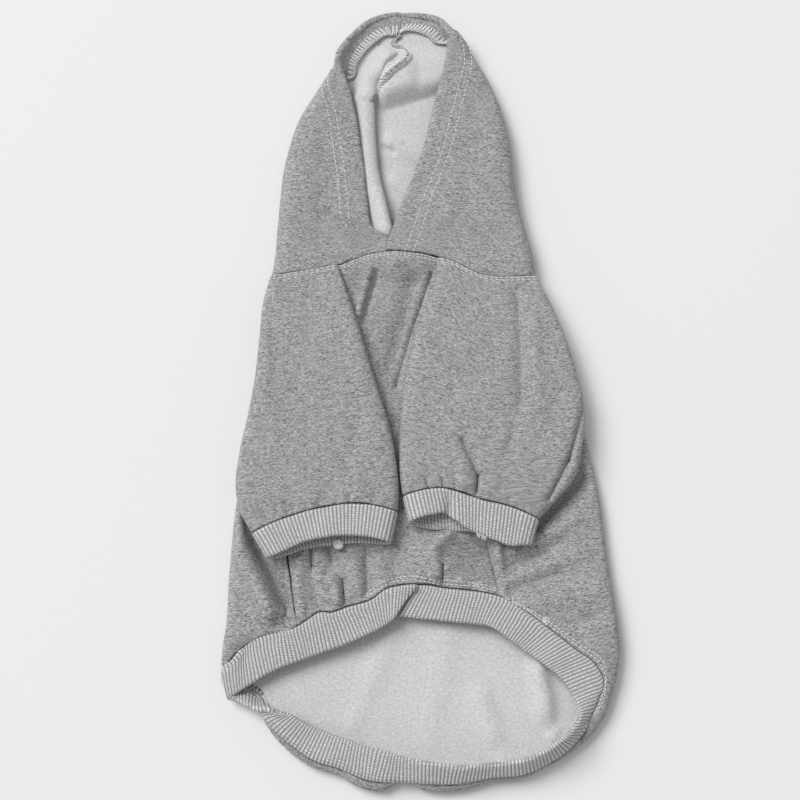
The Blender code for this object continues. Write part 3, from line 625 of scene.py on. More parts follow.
# The outside of the back looks down at the table, so the rim's faces turn that way too.
back_faces = [tuple(face) for face in grid_faces(rim_rows, rim_columns, flip=True)]
for face in sheet_faces:
    ring = [numbers[i] for i in face]
    a, b, c = (np.append(back_spots[i][:2], 0.0) for i in ring[:3])
    down = np.cross(b - a, c - a)[2] < 0
    back_faces.append(tuple(ring if down else reversed(ring)))
flat_part = back_spots[:, 2] < HALF + 0.01
away_from_rim = np.min(np.hypot(back_spots[:, None, 0] - loop[None, ::4, 0],
                                back_spots[:, None, 1] - loop[None, ::4, 1]), axis=1)
floor_lift = np.maximum(crease_lift(back_spots, FLOOR_CREASES), -0.3) * ease(away_from_rim / 9.0)
back_spots[:, 2] += np.where(flat_part, floor_lift, 0.0)
unrolled = run_across(rim_fine)
out_ways = rim_fine[:, CORNER_COLUMNS, :2] - rim_fine[:, 0, :2]
out_ways /= np.linalg.norm(out_ways, axis=1, keepdims=True)
rim_uv = rim_fine[:, :1, :2] + out_ways[:, None, :] * unrolled[..., None]
back_uv = np.concatenate([rim_uv.reshape(-1, 2), np.array(extra)[:, :2]])
back_half = np.full(len(back_spots), HALF)
back_half[:rim_count] = seam_half(unrolled[:, -1:] - unrolled).ravel()
back, back_out = sew_piece("back", back_spots, back_faces, back_half, back_uv, MARL, FLEECE)
rim_out = back_out[:rim_count].reshape(rim_rows, rim_columns, 3)
# Inside the hem seam the last strip of the cloth shows its knit, not its fleece.
MARL_COLUMNS = 6
slots = np.zeros(len(back.data.polygons), np.int32)
back.data.polygons.foreach_get("material_index", slots)
rim_quads = (rim_rows - 1) * (rim_columns - 1)
inner_slots = slots[len(back_faces):len(back_faces) + rim_quads]
inner_slots.reshape(rim_rows - 1, rim_columns - 1)[:, -MARL_COLUMNS:] = 0
back.data.polygons.foreach_set("material_index", slots)
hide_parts("back_panel")
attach(back, "root")


# ---------------------------------------------------------------- belly panel
# The narrow belly panel lies on top, between the side seams and the sleeves, and its hem edge is
# puckered where the rib pulls it in.  A small snag shows near the left side.
BELLY_RISE = 2.5          # how much higher the belly lies at the hem than between the sleeves
BELLY_RISE_FROM = -97.0   # where along Y it starts to rise, and over what length
BELLY_RISE_RUN = 22.0
NECK_LINE = 56.0          # mean place along Y of the neck seam over the belly
NECK_GAP = 0.12           # half of the gap at the neck seam
SIDE_GAP = 0.45           # how much the left side seam gapes below the cuff
SIDE_GAP_ROWS = 8         # over this many of the rows in BELLY_UPS
BELLY_END = 0.25          # share of the belly's length over which its end's own curve fades out
BELLY_LOWEST = 3.4        # height of the cloth's middle at the bottom of its deepest hollow
SNAG = (-45.5, -113.2)    # the small hole of a snagged stitch

Lap = namedtuple("Lap", "seam_x seam_y drop edge_x edge_y edge_z")

# The neck seam over the front: x, then y.
NECK_FRONT = np.array([
    (-80.0, 51.2), (-55.0, 55.5), (-45.0, 57.5), (-32.0, 62.5), (-25.0, 65.0), (-17.0, 65.9), (-7.0, 65.3),
    (3.0, 64.0), (17.0, 60.0), (30.0, 52.8), (42.0, 50.8), (62.0, 51.5),
])
# The hem across the belly.  drop: how far the band lies below the cloth where its ends meet.
BELLY_HEM = [
    Lap(-62.0, -131.3, 0.0, -58.0, -147.5, 9.5),
    Lap(-56.0, -127.5, 0.0, -52.5, -145.5, 9.5),
    Lap(-50.0, -124.0, 0.0, -46.0, -143.3, 9.6),
    Lap(-45.0, -124.3, 0.0, -40.2, -141.3, 9.7),
    Lap(-37.0, -121.6, 0.0, -31.0, -137.5, 9.9),
    Lap(-25.0, -118.0, -0.4, -21.4, -133.0, 10.4),
    Lap(-16.5, -112.3, -0.8, -15.5, -129.3, 10.8),
    Lap(-9.0, -110.7, -1.0, -13.0, -127.3, 11.0),
    Lap(-2.0, -110.3, -1.0, -12.5, -126.6, 11.0),
    Lap(4.0, -110.5, 1.7, -3.0, -127.2, 7.6),
    Lap(10.5, -111.8, 1.0, 5.0, -128.0, 8.3),
    Lap(22.9, -113.3, 0.2, 19.0, -129.4, 9.0),
    Lap(32.0, -114.5, 0.0, 27.0, -130.2, 9.2),
    Lap(40.5, -116.7, 0.0, 33.6, -131.3, 9.3),
]
LEFT_END = 8              # the row where the left stretch of the band ends, on top
# Its end is cut slanting, so its last rows get shorter.
LAP_END = [
    Lap(-2.2, -110.3, -1.0, -2.8, -111.7, 9.0),
    Lap(-4.5, -110.4, -1.0, -5.6, -115.4, 9.9),
    Lap(-8.5, -110.7, -1.0, -9.8, -121.9, 10.6),
    Lap(-12.0, -111.3, -1.0, -13.2, -127.4, 11.0),
]
RIGHT_END = Lap(-3.5, -110.4, 2.2, -12.0, -126.0, 7.0)     # the right one's end, beneath
# The side seams and raglan seams: y, then x of the left one and of the right one.
BELLY_SEAMS = np.array([
    (-132.0, -62.0, 41.0), (-116.7, -64.4, 40.5), (-104.0, -66.3, 37.0), (-92.0, -68.4, 34.5),
    (-68.0, -66.6, 33.5), (-46.0, -65.6, 33.0), (-25.0, -66.0, 33.0), (0.0, -60.0, 27.0),
    (20.0, -55.0, 21.0), (40.0, -51.0, 17.0), (66.0, -49.5, 15.0),
])
BELLY_CREASES = [
    Crease(-26.5, 55.0, -33.5, 28.0, 2.4, 2.8),        # the pleat beside the left sleeve
    Crease(-22.5, 55.0, -30.0, 28.0, 3.4, -2.0),
    Crease(-3.0, 50.0, -15.0, 0.0, 9.0, -3.0),         # sunk along the right sleeve
    Crease(6.4, 54.0, -2.6, 27.0, 2.6, -3.0),
    Crease(-2.6, 27.0, -12.6, -8.0, 2.8, -2.6),
    Crease(-61.5, -98.0, -59.5, -125.0, 3.6, 2.0),
    Crease(-55.8, -92.0, -54.8, -102.0, 2.2, -3.4),
    Crease(-54.6, -104.0, -51.0, -123.0, 4.4, -1.6),
    Crease(-50.5, -96.0, -50.5, -108.0, 4.4, 1.6),
    Crease(-46.8, -92.0, -44.8, -99.0, 2.4, -2.4),
    Crease(-44.6, -107.5, -41.0, -119.5, 3.8, 3.6),    # the bulge beside the snag
    Crease(-39.2, -108.0, -38.6, -121.0, 1.9, -3.2),
    Crease(-48.0, -120.0, -40.0, -121.5, 2.0, -1.6),
    Crease(-35.5, -94.0, -31.0, -112.0, 5.0, 1.5),
    Crease(-27.4, -94.0, -26.8, -117.0, 4.2, -3.0),
    Crease(-20.5, -98.0, -18.0, -113.5, 4.2, 1.6),
    Crease(-13.5, -97.0, -12.0, -110.5, 3.6, -1.2),
    Crease(-4.0, -92.0, 2.0, -108.0, 7.0, 2.4),
    Crease(10.7, -101.0, 10.4, -113.0, 1.5, -4.0),     # a short sharp crease
    Crease(7.4, -101.0, 7.0, -113.0, 2.6, 1.4),
    Crease(20.5, -108.0, 22.0, -113.0, 3.6, 1.2),
    Crease(31.0, -110.0, 33.0, -114.0, 3.0, 1.0),
]

# The hollow under the right cuff: its left edge, and its cut from left to right.
HOLLOW = np.array([
    (22.0, -76.0), (15.7, -84.0), (7.8, -92.4), (7.2, -98.0), (9.8, -103.0), (10.2, -114.0),
])
HOLLOW_CUT = np.array([
    (-13.0, 0.0), (-9.0, 0.8), (-5.0, 3.2), (-2.2, 5.3), (-0.4, 5.5), (1.2, 4.0), (3.0, 2.4), (7.0, 0.6),
    (14.0, -2.2), (20.0, -4.4), (25.0, -5.8), (34.0, -6.2),
])


def neck_at(x):
    """Where the neck seam lies over the front."""
    return np.interp(x, NECK_FRONT[:, 0], NECK_FRONT[:, 1])


def drawn_in(grid, gap):
    """A coarse grid with its four edges drawn in by the gap that is left at a seam."""
    grid = grid.copy()
    for edge, inner in ((grid[0], grid[1]), (grid[-1], grid[-2]),
                        (grid[:, 0], grid[:, 1]), (grid[:, -1], grid[:, -2])):
        way = inner - edge
        edge += way / np.linalg.norm(way, axis=1, keepdims=True) * gap
    return grid


def belly_point(across, up):
    """A point of the belly: across from the left seam, up from the hem to the neck."""
    low = BELLY_HEM[round(across * (len(BELLY_HEM) - 1))]
    first, last = BELLY_HEM[0], BELLY_HEM[-1]
    share = (low.seam_x - first.seam_x) / (last.seam_x - first.seam_x)
    chord = blend(first.seam_y, last.seam_y, share)
    left = np.interp(blend(first.seam_y, NECK_LINE, up), BELLY_SEAMS[:, 0], BELLY_SEAMS[:, 1])
    right = np.interp(blend(last.seam_y, NECK_LINE, up), BELLY_SEAMS[:, 0], BELLY_SEAMS[:, 2])
    x = blend(left, right, share)
    y = (blend(chord, NECK_LINE, up) + (low.seam_y - chord) * ease(1.0 - up / BELLY_END)
         + (neck_at(x) - NECK_LINE) * ease((up - 1.0 + BELLY_END) / BELLY_END))
    return x, y, BODY_TOP - HALF + BELLY_RISE * ease((BELLY_RISE_FROM - y) / BELLY_RISE_RUN)


BELLY_UPS = (0.0, 0.03, 0.06, 0.09, 0.13, 0.18, 0.28, 0.4, 0.52, 0.64, 0.74, 0.82, 0.9, 0.96, 1.0)
belly_grid = np.array([[belly_point(c / (len(BELLY_HEM) - 1), up) for c in range(len(BELLY_HEM))]
                       for up in BELLY_UPS])
belly_grid = drawn_in(belly_grid, SEAM_GAP)
belly_grid[:SIDE_GAP_ROWS, 0, 0] += SIDE_GAP
belly_grid = refine(belly_grid, 0.85, 0.85)
settle = 0.25 + 0.75 * ease(edge_away(belly_grid, sides=(True, False)) / 4.0)
(hollow,), past = line_cut(belly_grid, HOLLOW, HOLLOW_CUT)
hollow = np.where(hollow > 0, hollow * ease((-79.5 - belly_grid[..., 1]) / 8.0), hollow)
hollow = (hollow * np.exp(-(past / 4.0) ** 2) * ease((-72.0 - belly_grid[..., 1]) / 9.0)
          * (0.45 + 0.55 * ease((belly_grid[..., 1] + 114.0) / 14.0)))
belly_grid[..., 2] += settle * (crease_lift(belly_grid, BELLY_CREASES)
                                + uneven(belly_grid, 30.0, 0.3, 7) + hollow)
belly_grid[..., 2] = np.maximum(belly_grid[..., 2], BELLY_LOWEST)
# The neck end rises to the hood, which is sewn on higher up.
neck_lift = (2.3 + 1.5 * ease((belly_grid[..., 0] + 22.0) / 10.0)
             - 0.9 * ease((belly_grid[..., 0] - 1.0) / 8.0))
belly_grid[..., 2] += neck_lift * ease((belly_grid[..., 1] - 46.0) / 16.0)
to_snag = np.hypot(belly_grid[..., 0] - SNAG[0], belly_grid[..., 1] - SNAG[1])
belly_grid[..., 2] -= 1.2 * np.exp(-(to_snag / 3.0) ** 2) + 1.3 * np.exp(-(to_snag / 0.9) ** 2)
belly_uv = belly_grid[..., :2].reshape(-1, 2)
belly_half = seam_half(edge_away(belly_grid))
belly, belly_out = sew_piece("belly", belly_grid.reshape(-1, 3), grid_faces(*belly_grid.shape[:2]),
                             belly_half.ravel(), belly_uv, MARL, FLEECE)
belly_out = belly_out.reshape(belly_grid.shape)
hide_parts("belly_panel")
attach(belly, "root")


# ---------------------------------------------------------------- sleeves
# Two short raglan sleeves, each one panel rolled to a flattened tube, lie on the body.
SLEEVE_REST = BODY_TOP + SEAM_GAP
SLEEVE_PUFF = 1.2         # how far a sleeve's upper layer is crowned at the cuff

Sleeve = namedtuple("Sleeve", "along outer inner back_seam belly_seam high")
Cuff = namedtuple("Cuff", "x seam_y end_y")

# Rows down each sleeve: along runs from 0 at the neck seam to 1 at the cuff.
LEFT_SLEEVE = [
    Sleeve(0.00, -79.0, -43.5, -71.0, -50.0, 4.3),
    Sleeve(0.10, -82.2, -39.5, -71.0, -51.5, 5.2),
    Sleeve(0.25, -83.8, -33.5, -70.5, -55.5, 6.8),
    Sleeve(0.40, -85.4, -28.0, -69.0, -60.5, 8.0),
    Sleeve(0.55, -88.5, -22.0, -66.2, -65.8, 8.6),
    Sleeve(0.70, -92.3, -15.5, -65.2, -64.8, 9.0),
    Sleeve(0.85, -93.4, -11.8, -58.2, -57.8, 9.4),
    Sleeve(0.93, -90.5, -10.9, -54.2, -53.8, 9.5),
    Sleeve(1.00, -85.0, -11.5, -50.2, -49.8, 9.5),
]
RIGHT_SLEEVE = [
    Sleeve(0.00, 61.5, 9.5, 53.0, 16.0, 4.3),
    Sleeve(0.10, 67.5, 8.0, 53.0, 17.5, 5.4),
    Sleeve(0.25, 75.0, 1.8, 51.0, 22.0, 7.0),
    Sleeve(0.40, 80.5, -3.8, 45.0, 28.0, 8.2),
    Sleeve(0.55, 84.2, -8.3, 33.2, 32.8, 9.0),
    Sleeve(0.70, 82.6, -10.3, 33.2, 32.8, 9.4),
    Sleeve(0.85, 76.8, -10.8, 32.2, 31.8, 9.5),
    Sleeve(0.93, 67.5, -10.5, 30.2, 29.8, 9.5),
    Sleeve(1.00, 59.5, -9.3, 28.2, 27.8, 9.5),
]
# Where each cuff is sewn on, and where its upper layer ends.
LEFT_CUFF = [
    Cuff(-85.0, -85.5, -100.0),
    Cuff(-72.0, -79.5, -97.0),
    Cuff(-57.0, -74.3, -91.0),
    Cuff(-37.0, -70.5, -88.5),
    Cuff(-24.0, -71.5, -89.0),
    Cuff(-11.5, -74.5, -91.5),
]
RIGHT_CUFF = [
    Cuff(-9.3, -66.5, -81.0),
    Cuff(3.0, -63.4, -78.8),
    Cuff(11.0, -62.8, -75.6),
    Cuff(20.0, -65.0, -80.5),
    Cuff(30.0, -68.8, -85.0),
    Cuff(44.0, -71.8, -90.5),
    Cuff(59.5, -78.5, -90.0),
]
LEFT_SLEEVE_CREASES = [
    Crease(-52.0, 52.0, -66.0, -30.0, 10.0, -0.9),
    Crease(-82.0, 20.0, -76.0, -50.0, 7.0, 0.8),
    Crease(-36.0, 30.0, -24.0, -40.0, 9.0, 0.7),
    Crease(-31.0, -58.0, -31.0, -68.0, 3.6, 0.9),
    Crease(-84.0, -62.0, -76.0, -80.0, 4.0, -1.1),
]
# Puckers where the wider sleeve is drawn into its cuff.
LEFT_PUCKERS = [
    Crease(-68.0, -70.0, -65.8, -80.0, 1.7, -2.6),
    Crease(-64.0, -72.0, -63.0, -79.0, 1.5, -2.0),
    Crease(-72.5, -76.0, -71.5, -82.0, 1.6, -1.6),
    Crease(-57.5, -71.0, -57.0, -77.0, 1.8, -1.3),
    Crease(-51.2, -68.5, -51.0, -75.0, 1.5, -2.2),
    Crease(-42.2, -69.0, -42.0, -73.0, 1.6, -1.4),
    Crease(-36.1, -66.5, -35.4, -73.5, 1.5, -2.2),
    Crease(-24.5, -68.0, -24.0, -74.0, 1.6, -1.6),
    Crease(-17.0, -70.0, -17.0, -75.0, 1.6, -1.2),
]
RIGHT_PUCKERS = [
    Crease(2.2, -58.0, 4.4, -65.5, 1.5, -2.6),
    Crease(10.9, -58.5, 11.2, -65.0, 1.5, -2.4),
    Crease(-3.5, -61.0, -3.0, -67.0, 1.7, -1.4),
    Crease(17.0, -59.0, 18.0, -66.5, 1.8, -1.6),
    Crease(35.0, -66.0, 35.5, -72.0, 1.8, -1.3),
    Crease(44.0, -68.0, 44.5, -74.0, 1.8, -1.4),
    Crease(52.0, -71.0, 53.0, -77.5, 1.8, -1.2),
]
RIGHT_SLEEVE_CREASES = [
    Crease(51.8, 44.0, 51.9, -17.5, 5.0, -1.8),        # the long soft fold beside the outer edge
    Crease(51.9, -17.5, 44.0, -46.0, 5.0, -1.2),
    Crease(59.0, 28.0, 61.0, -22.0, 5.0, 1.1),
    Crease(85.3, -14.0, 75.2, -48.3, 2.6, -3.4),       # where the lower layer steps out
    Crease(75.2, -48.3, 64.0, -69.0, 2.6, -3.2),
    Crease(21.0, -38.0, 29.0, -56.6, 3.0, -3.4),       # the dent above the cuff
    Crease(29.0, -56.6, 27.4, -69.5, 2.4, -4.6),
    Crease(21.5, -50.0, 21.5, -66.0, 5.0, 1.8),
    Crease(36.0, -54.0, 35.0, -70.0, 5.0, 0.9),
]


def sleeve_section(row, cuff_line):
    """One section of a sleeve: lower layer, outer fold, upper layer, inner fold, lower layer."""
    side = 1.0 if row.outer > row.inner else -1.0
    low = SLEEVE_REST + HALF
    radius = (row.high - CLOTH) / 2
    top = low + 2 * radius
    outer = row.outer - side * (HALF + radius)
    inner = row.inner + side * (HALF + radius)
    section = [(blend(row.back_seam, outer, step / 3), low) for step in range(3)]
    for angle in np.linspace(0.0, math.pi, 7):
        section.append((outer + side * radius * math.sin(angle),
                        low + radius * (1 - math.cos(angle))))
    for share in np.arange(1, 7) / 7:
        crown = SLEEVE_PUFF * row.along * math.sin(math.pi * share)
        section.append((blend(outer, inner, share), top + crown))
    for angle in np.linspace(0.0, math.pi, 7):
        section.append((inner - side * radius * math.sin(angle),
                        low + radius * (1 + math.cos(angle))))
    section += [(blend(inner, row.belly_seam, step / 5), low) for step in range(1, 6)]
    x, z = np.array(section).T
    start = neck_at(x) - NECK_GAP * (1 - row.along)
    end = np.interp(x, cuff_line[:, 0], cuff_line[:, 1]) + SEAM_GAP * row.along
    return np.stack([x, blend(start, end, row.along), z], axis=1)


def sew_sleeve(name, node, table, cuff, creases, puckers, seed):
    """A sleeve of marl knit; returns its grid and its way out, for the stitches at the neck."""
    cuff_line = np.array(sorted((row.x, row.seam_y) for row in cuff))
    grid = refine([sleeve_section(row, cuff_line) for row in table], 0.95, 0.95)
    lowest, highest = grid[..., 2].min(), grid[..., 2].max(axis=1, keepdims=True)
    top = ease((grid[..., 2] - lowest) / (highest - lowest) * 1.6 - 0.5)
    ends = edge_away(grid, sides=(False, False))
    lift = crease_lift(grid, creases) + uneven(grid, 38.0, 0.35, seed)
    grid[..., 2] += top * ((0.3 + 0.7 * ease(ends / 4.0)) * lift + 0.7 * crease_lift(grid, puckers))
    across, down = run_across(grid), run_down(grid)
    uv = np.stack([across - across.mean(), down], axis=-1)
    side = table[0].outer < table[0].inner
    piece, out = sew_piece(name, grid.reshape(-1, 3), grid_faces(*grid.shape[:2], flip=side),
                           seam_half(edge_away(grid)).ravel(), uv.reshape(-1, 2), MARL, FLEECE)
    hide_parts(node)
    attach(piece, "root")
    return piece, grid, out.reshape(grid.shape)


left_sleeve, left_grid, left_out = sew_sleeve(
    "left_sleeve", "sleeve_left", LEFT_SLEEVE, LEFT_CUFF, LEFT_SLEEVE_CREASES, LEFT_PUCKERS, 11)
right_sleeve, right_grid, right_out = sew_sleeve(
    "right_sleeve", "sleeve_right", RIGHT_SLEEVE, RIGHT_CUFF, RIGHT_SLEEVE_CREASES, RIGHT_PUCKERS, 12)


# ---------------------------------------------------------------- cuffs
# Each cuff is a band of paler rib, closed to a flattened ring whose lower side shows past the
# upper one.  The real rib is doubled; here it is one wall as thick as both of its layers.  The
# ribs stand up as real relief, and their grooves also carry painted shade.
RIB = 2.8                 # thickness of two layers of rib
RIB_PITCH = 1.8           # from one rib to the next
RIB_RELIEF = 0.34         # how far a rib stands above its grooves
RIB_SAMPLES = 6           # points across one rib
LOOP_ROWS = 1.25          # from one row of loops to the next, along a rib
CUFF_LAG = 0.5            # how far a cuff's lower side reaches past its upper one
CUFF_HIGH = 10.3          # height of a flattened cuff
LEFT_CUFF_END = (-77.0, -15.0)      # outer and inner edge at the cuff's open end
RIGHT_CUFF_END = (55.5, -6.0)


def rib_material():
    """Rib knit: pale ribs, grooves darkened with painted shade, and the rows of loops along each rib, with
    painted shade between them.
    """
    material = bpy.data.materials.new("rib_knit")
    material.use_nodes = True
    tree = material.node_tree
    node, link = tree.nodes.new, tree.links.new
    shader = tree.nodes["Principled BSDF"]
    cloth = node("ShaderNodeUVMap")
    cloth.uv_map = "cloth"
    parts = node("ShaderNodeSeparateXYZ")
    link(cloth.outputs["UV"], parts.inputs[0])
    turn = node("ShaderNodeMath")
    turn.operation = "MULTIPLY"
    turn.inputs[1].default_value = 2 * math.pi / RIB_PITCH
    link(parts.outputs["X"], turn.inputs[0])
    wave = node("ShaderNodeMath")
    wave.operation = "COSINE"
    link(turn.outputs[0], wave.inputs[0])
    crest = node("ShaderNodeMapRange")
    crest.interpolation_type = "SMOOTHSTEP"
    crest.inputs["From Min"].default_value = -1.0
    crest.inputs["From Max"].default_value = 0.2
    link(wave.outputs[0], crest.inputs["Value"])
    flecks = node("ShaderNodeGroup")
    flecks.node_tree = FLECKS
    flecks.inputs["Stretch"].default_value = (0.8, 1.0, 1.0)
    flecks.inputs["Dark"].default_value = (0.42, 0.428, 0.424, 1.0)
    flecks.inputs["Pale"].default_value = (0.83, 0.84, 0.83, 1.0)
    flecks.inputs["Fleck mm"].default_value = 0.8
    flecks.inputs["Clouds"].default_value = 0.12
    link(cloth.outputs["UV"], flecks.inputs["Cloth"])
    shade = node("ShaderNodeMix")
    shade.data_type = "RGBA"
    # The grooves' dark colour is painted shade between the ribs, on top of their real relief.
    shade.inputs[6].default_value = (0.25, 0.257, 0.253, 1.0)
    # The rows of loops cross each rib as short darker steps of painted shade between the loops.
    step = node("ShaderNodeMath")
    step.operation = "MULTIPLY"
    step.inputs[1].default_value = 2 * math.pi / LOOP_ROWS
    link(parts.outputs["Y"], step.inputs[0])
    loops = node("ShaderNodeMath")
    loops.operation = "COSINE"
    link(step.outputs[0], loops.inputs[0])
    loop_shade = node("ShaderNodeMapRange")
    loop_shade.inputs["From Min"].default_value = -1.0
    loop_shade.inputs["From Max"].default_value = 0.2
    loop_shade.inputs["To Min"].default_value = 0.5
    link(loops.outputs[0], loop_shade.inputs["Value"])
    both = node("ShaderNodeMath")
    both.operation = "MULTIPLY"
    link(crest.outputs["Result"], both.inputs[0])
    link(loop_shade.outputs["Result"], both.inputs[1])
    link(both.outputs[0], shade.inputs["Factor"])
    link(flecks.outputs["Color"], shade.inputs[7])
    link(shade.outputs[2], shader.inputs["Base Color"])
    relief = node("ShaderNodeBump")
    relief.inputs["Strength"].default_value = 0.5
    relief.inputs["Distance"].default_value = 0.4 * MM
    link(flecks.outputs["Height"], relief.inputs["Height"])
    link(relief.outputs["Normal"], shader.inputs["Normal"])
    shader.inputs["Roughness"].default_value = 0.92
    shader.inputs["Specular IOR Level"].default_value = 0.15
    shader.inputs["Sheen Weight"].default_value = 0.12
    shader.inputs["Sheen Roughness"].default_value = 0.6
    return material


RIB_KNIT = rib_material()


def rib_height(across):
    """How far the ribs stand out, at a distance across them."""
    wave = 0.5 + 0.5 * np.cos(2 * math.pi * across / RIB_PITCH)
    return RIB_RELIEF * (wave ** 0.8 - 0.55)


def mean_runs(rows):
    """Mean distance of each of a grid's columns from its first one."""
    steps = np.linalg.norm(np.diff(rows, axis=1), axis=2).mean(axis=0)
    return np.concatenate([[0.0], np.cumsum(steps)])


def cuff_ring(outer, inner, line, lag):
    """One ring of a cuff: a flattened loop whose lower side may reach a little further."""
    side = 1.0 if outer > inner else -1.0
    low = SLEEVE_REST + RIB / 2
    radius = (CUFF_HIGH - RIB) / 2
    start = outer - side * (RIB / 2 + radius)
    end = inner + side * (RIB / 2 + radius)
    loop = [(blend(start, end, step / 8), low + 2 * radius) for step in range(1, 8)]
    for angle in np.linspace(0.0, math.pi, 6):
        loop.append((end - side * radius * math.sin(angle),
                     low + radius * (1 + math.cos(angle))))
    loop += [(blend(end, start, step / 8), low) for step in range(1, 8)]
    for angle in np.linspace(0.0, math.pi, 6):
        loop.append((start + side * radius * math.sin(angle),
                     low + radius * (1 - math.cos(angle))))
    x, z = np.array(loop).T
    under = (low + 2 * radius - z) / (2 * radius)
    return np.stack([x, np.interp(x, line[:, 0], line[:, 1]) - lag * under, z], axis=1)


def sew_cuff(name, node, sleeve, cuff, ends, shape, lip):
    """A ring of rib at the end of a sleeve.  shape moves its upper side and lip its lower one."""
    seam_line = np.array(sorted((row.x, row.seam_y - SEAM_GAP) for row in cuff))
    end_line = np.array(sorted((row.x, row.end_y) for row in cuff))
    middle_line = (seam_line + end_line) / 2
    last = sleeve[-1]
    middle = (blend(last.outer, ends[0], 0.5), blend(last.inner, ends[1], 0.5))
    rings = np.array([cuff_ring(last.outer, last.inner, seam_line, 0.0),
                      cuff_ring(*middle, middle_line, CUFF_LAG / 2),
                      cuff_ring(*ends, end_line, CUFF_LAG)])
    wrapped = np.concatenate([rings[:, -3:], rings, rings[:, :4]], axis=1)
    knots = mean_runs(wrapped)
    around = knots[3 + rings.shape[1]] - knots[3]
    ribs = round(around / RIB_PITCH)
    places = knots[3] + around * np.arange(ribs * RIB_SAMPLES) / (ribs * RIB_SAMPLES)
    rings = smooth_curve(knots, wrapped.transpose(1, 0, 2), places).transpose(1, 0, 2)
    steps = np.linalg.norm(np.diff(rings, axis=0), axis=2).mean(axis=1)
    knots = np.concatenate([[0.0], np.cumsum(steps)])
    grid = smooth_curve(knots, rings, places_along(knots[-1], 1.3, True))
    down = run_down(grid)
    share = down / down[-1:]
    low = SLEEVE_REST + RIB / 2
    top = ease((grid[..., 2] - low) / (CUFF_HIGH - RIB))
    grid += top[..., None] * shape(grid, share) + (1 - top)[..., None] * lip(grid, share)
    away = np.minimum(down, down[-1:] - down)
    across = RIB_PITCH / RIB_SAMPLES * np.arange(grid.shape[1])
    relief = rib_height(across)[None, :] * ease(away / 1.6)
    uv = np.stack([np.broadcast_to(across, down.shape), down], axis=-1)
    side = sleeve[0].outer < sleeve[0].inner
    faces = grid_faces(*grid.shape[:2], ring=True, flip=side)
    piece, out = sew_piece(name, grid.reshape(-1, 3), faces, rounded(away, RIB / 2).ravel(),
                           uv.reshape(-1, 2), RIB_KNIT, RIB_KNIT, relief.ravel())
    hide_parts(node)
    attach(piece, "root")
    return piece, grid, out.reshape(grid.shape)


def left_cuff_shape(grid, share):
    """The left cuff arches gently at its free edge."""
    lift = 1.2 * bump_along(grid[..., 0], -45.0, 22.0) * share + uneven(grid, 26.0, 0.25, 21)
    push = 1.6 * share ** 2 * bump_along(grid[..., 0], -43.0, 22.0)
    return np.stack([np.zeros_like(lift), push, lift * ease(share * 3)], axis=-1)


def right_cuff_shape(grid, share):
    """The right cuff gapes on the left of a kink, and drops away on the right of it."""
    x = grid[..., 0]
    lift = share * (1.6 * bump_along(x, 1.0, 8.0) - 4.0 * bump_along(x, 14.0, 2.6)
                    - 1.6 * ease((x - 18.0) / 10.0)) + uneven(grid, 26.0, 0.25, 22)
    push = share * (1.0 * bump_along(x, 2.0, 8.0) - 1.6 * ease((x - 15.0) / 8.0))
    return np.stack([np.zeros_like(lift), push, lift * ease(share * 3)], axis=-1)


def right_cuff_lip(grid, share):
    """Where it gapes, its lower side reaches out as a lip."""
    gape = share ** 2 * bump_along(grid[..., 0], 11.0, 10.5)
    return np.stack([np.zeros_like(gape), -6.6 * gape, 0.8 * gape], axis=-1)


def left_cuff_lip(grid, share):
    """The left cuff's lower side shows as a narrow crescent."""
    push = -1.2 * share ** 2 * bump_along(grid[..., 0], -45.0, 24.0)
    return np.stack([np.zeros_like(push), push, np.zeros_like(push)], axis=-1)


left_cuff, left_cuff_grid, left_cuff_out = sew_cuff(
    "left_cuff", "cuff_left", LEFT_SLEEVE, LEFT_CUFF, LEFT_CUFF_END, left_cuff_shape, left_cuff_lip)
right_cuff, right_cuff_grid, right_cuff_out = sew_cuff(
    "right_cuff", "cuff_right", RIGHT_SLEEVE, RIGHT_CUFF, RIGHT_CUFF_END, right_cuff_shape,
    right_cuff_lip)


# ---------------------------------------------------------------- hood
# Two halves of marl knit with the fleece inside, joined by the centre seam that shows in the
# opening.  Their front edge is turned in as a facing, serged at its inner edge, and the right
# half laps over the left one at the neck.
NECK_BACK = 51.5          # the neck seam on the back, as a place along Y
NECK_FOLD_LOW = 4.0       # heights between which the neck seam turns from the back to the front
NECK_FOLD_HIGH = 8.0
FACING = 19.0             # how wide the front edge is turned in
CROWN_FACING = 0.72       # its share of that width at the crown
FACING_FOLD = 1.05        # radius of the cloth's middle at the turned edge

Hood = namedtuple("Hood", "x y high turn centre_x centre_y edge_x edge_y edge_z")

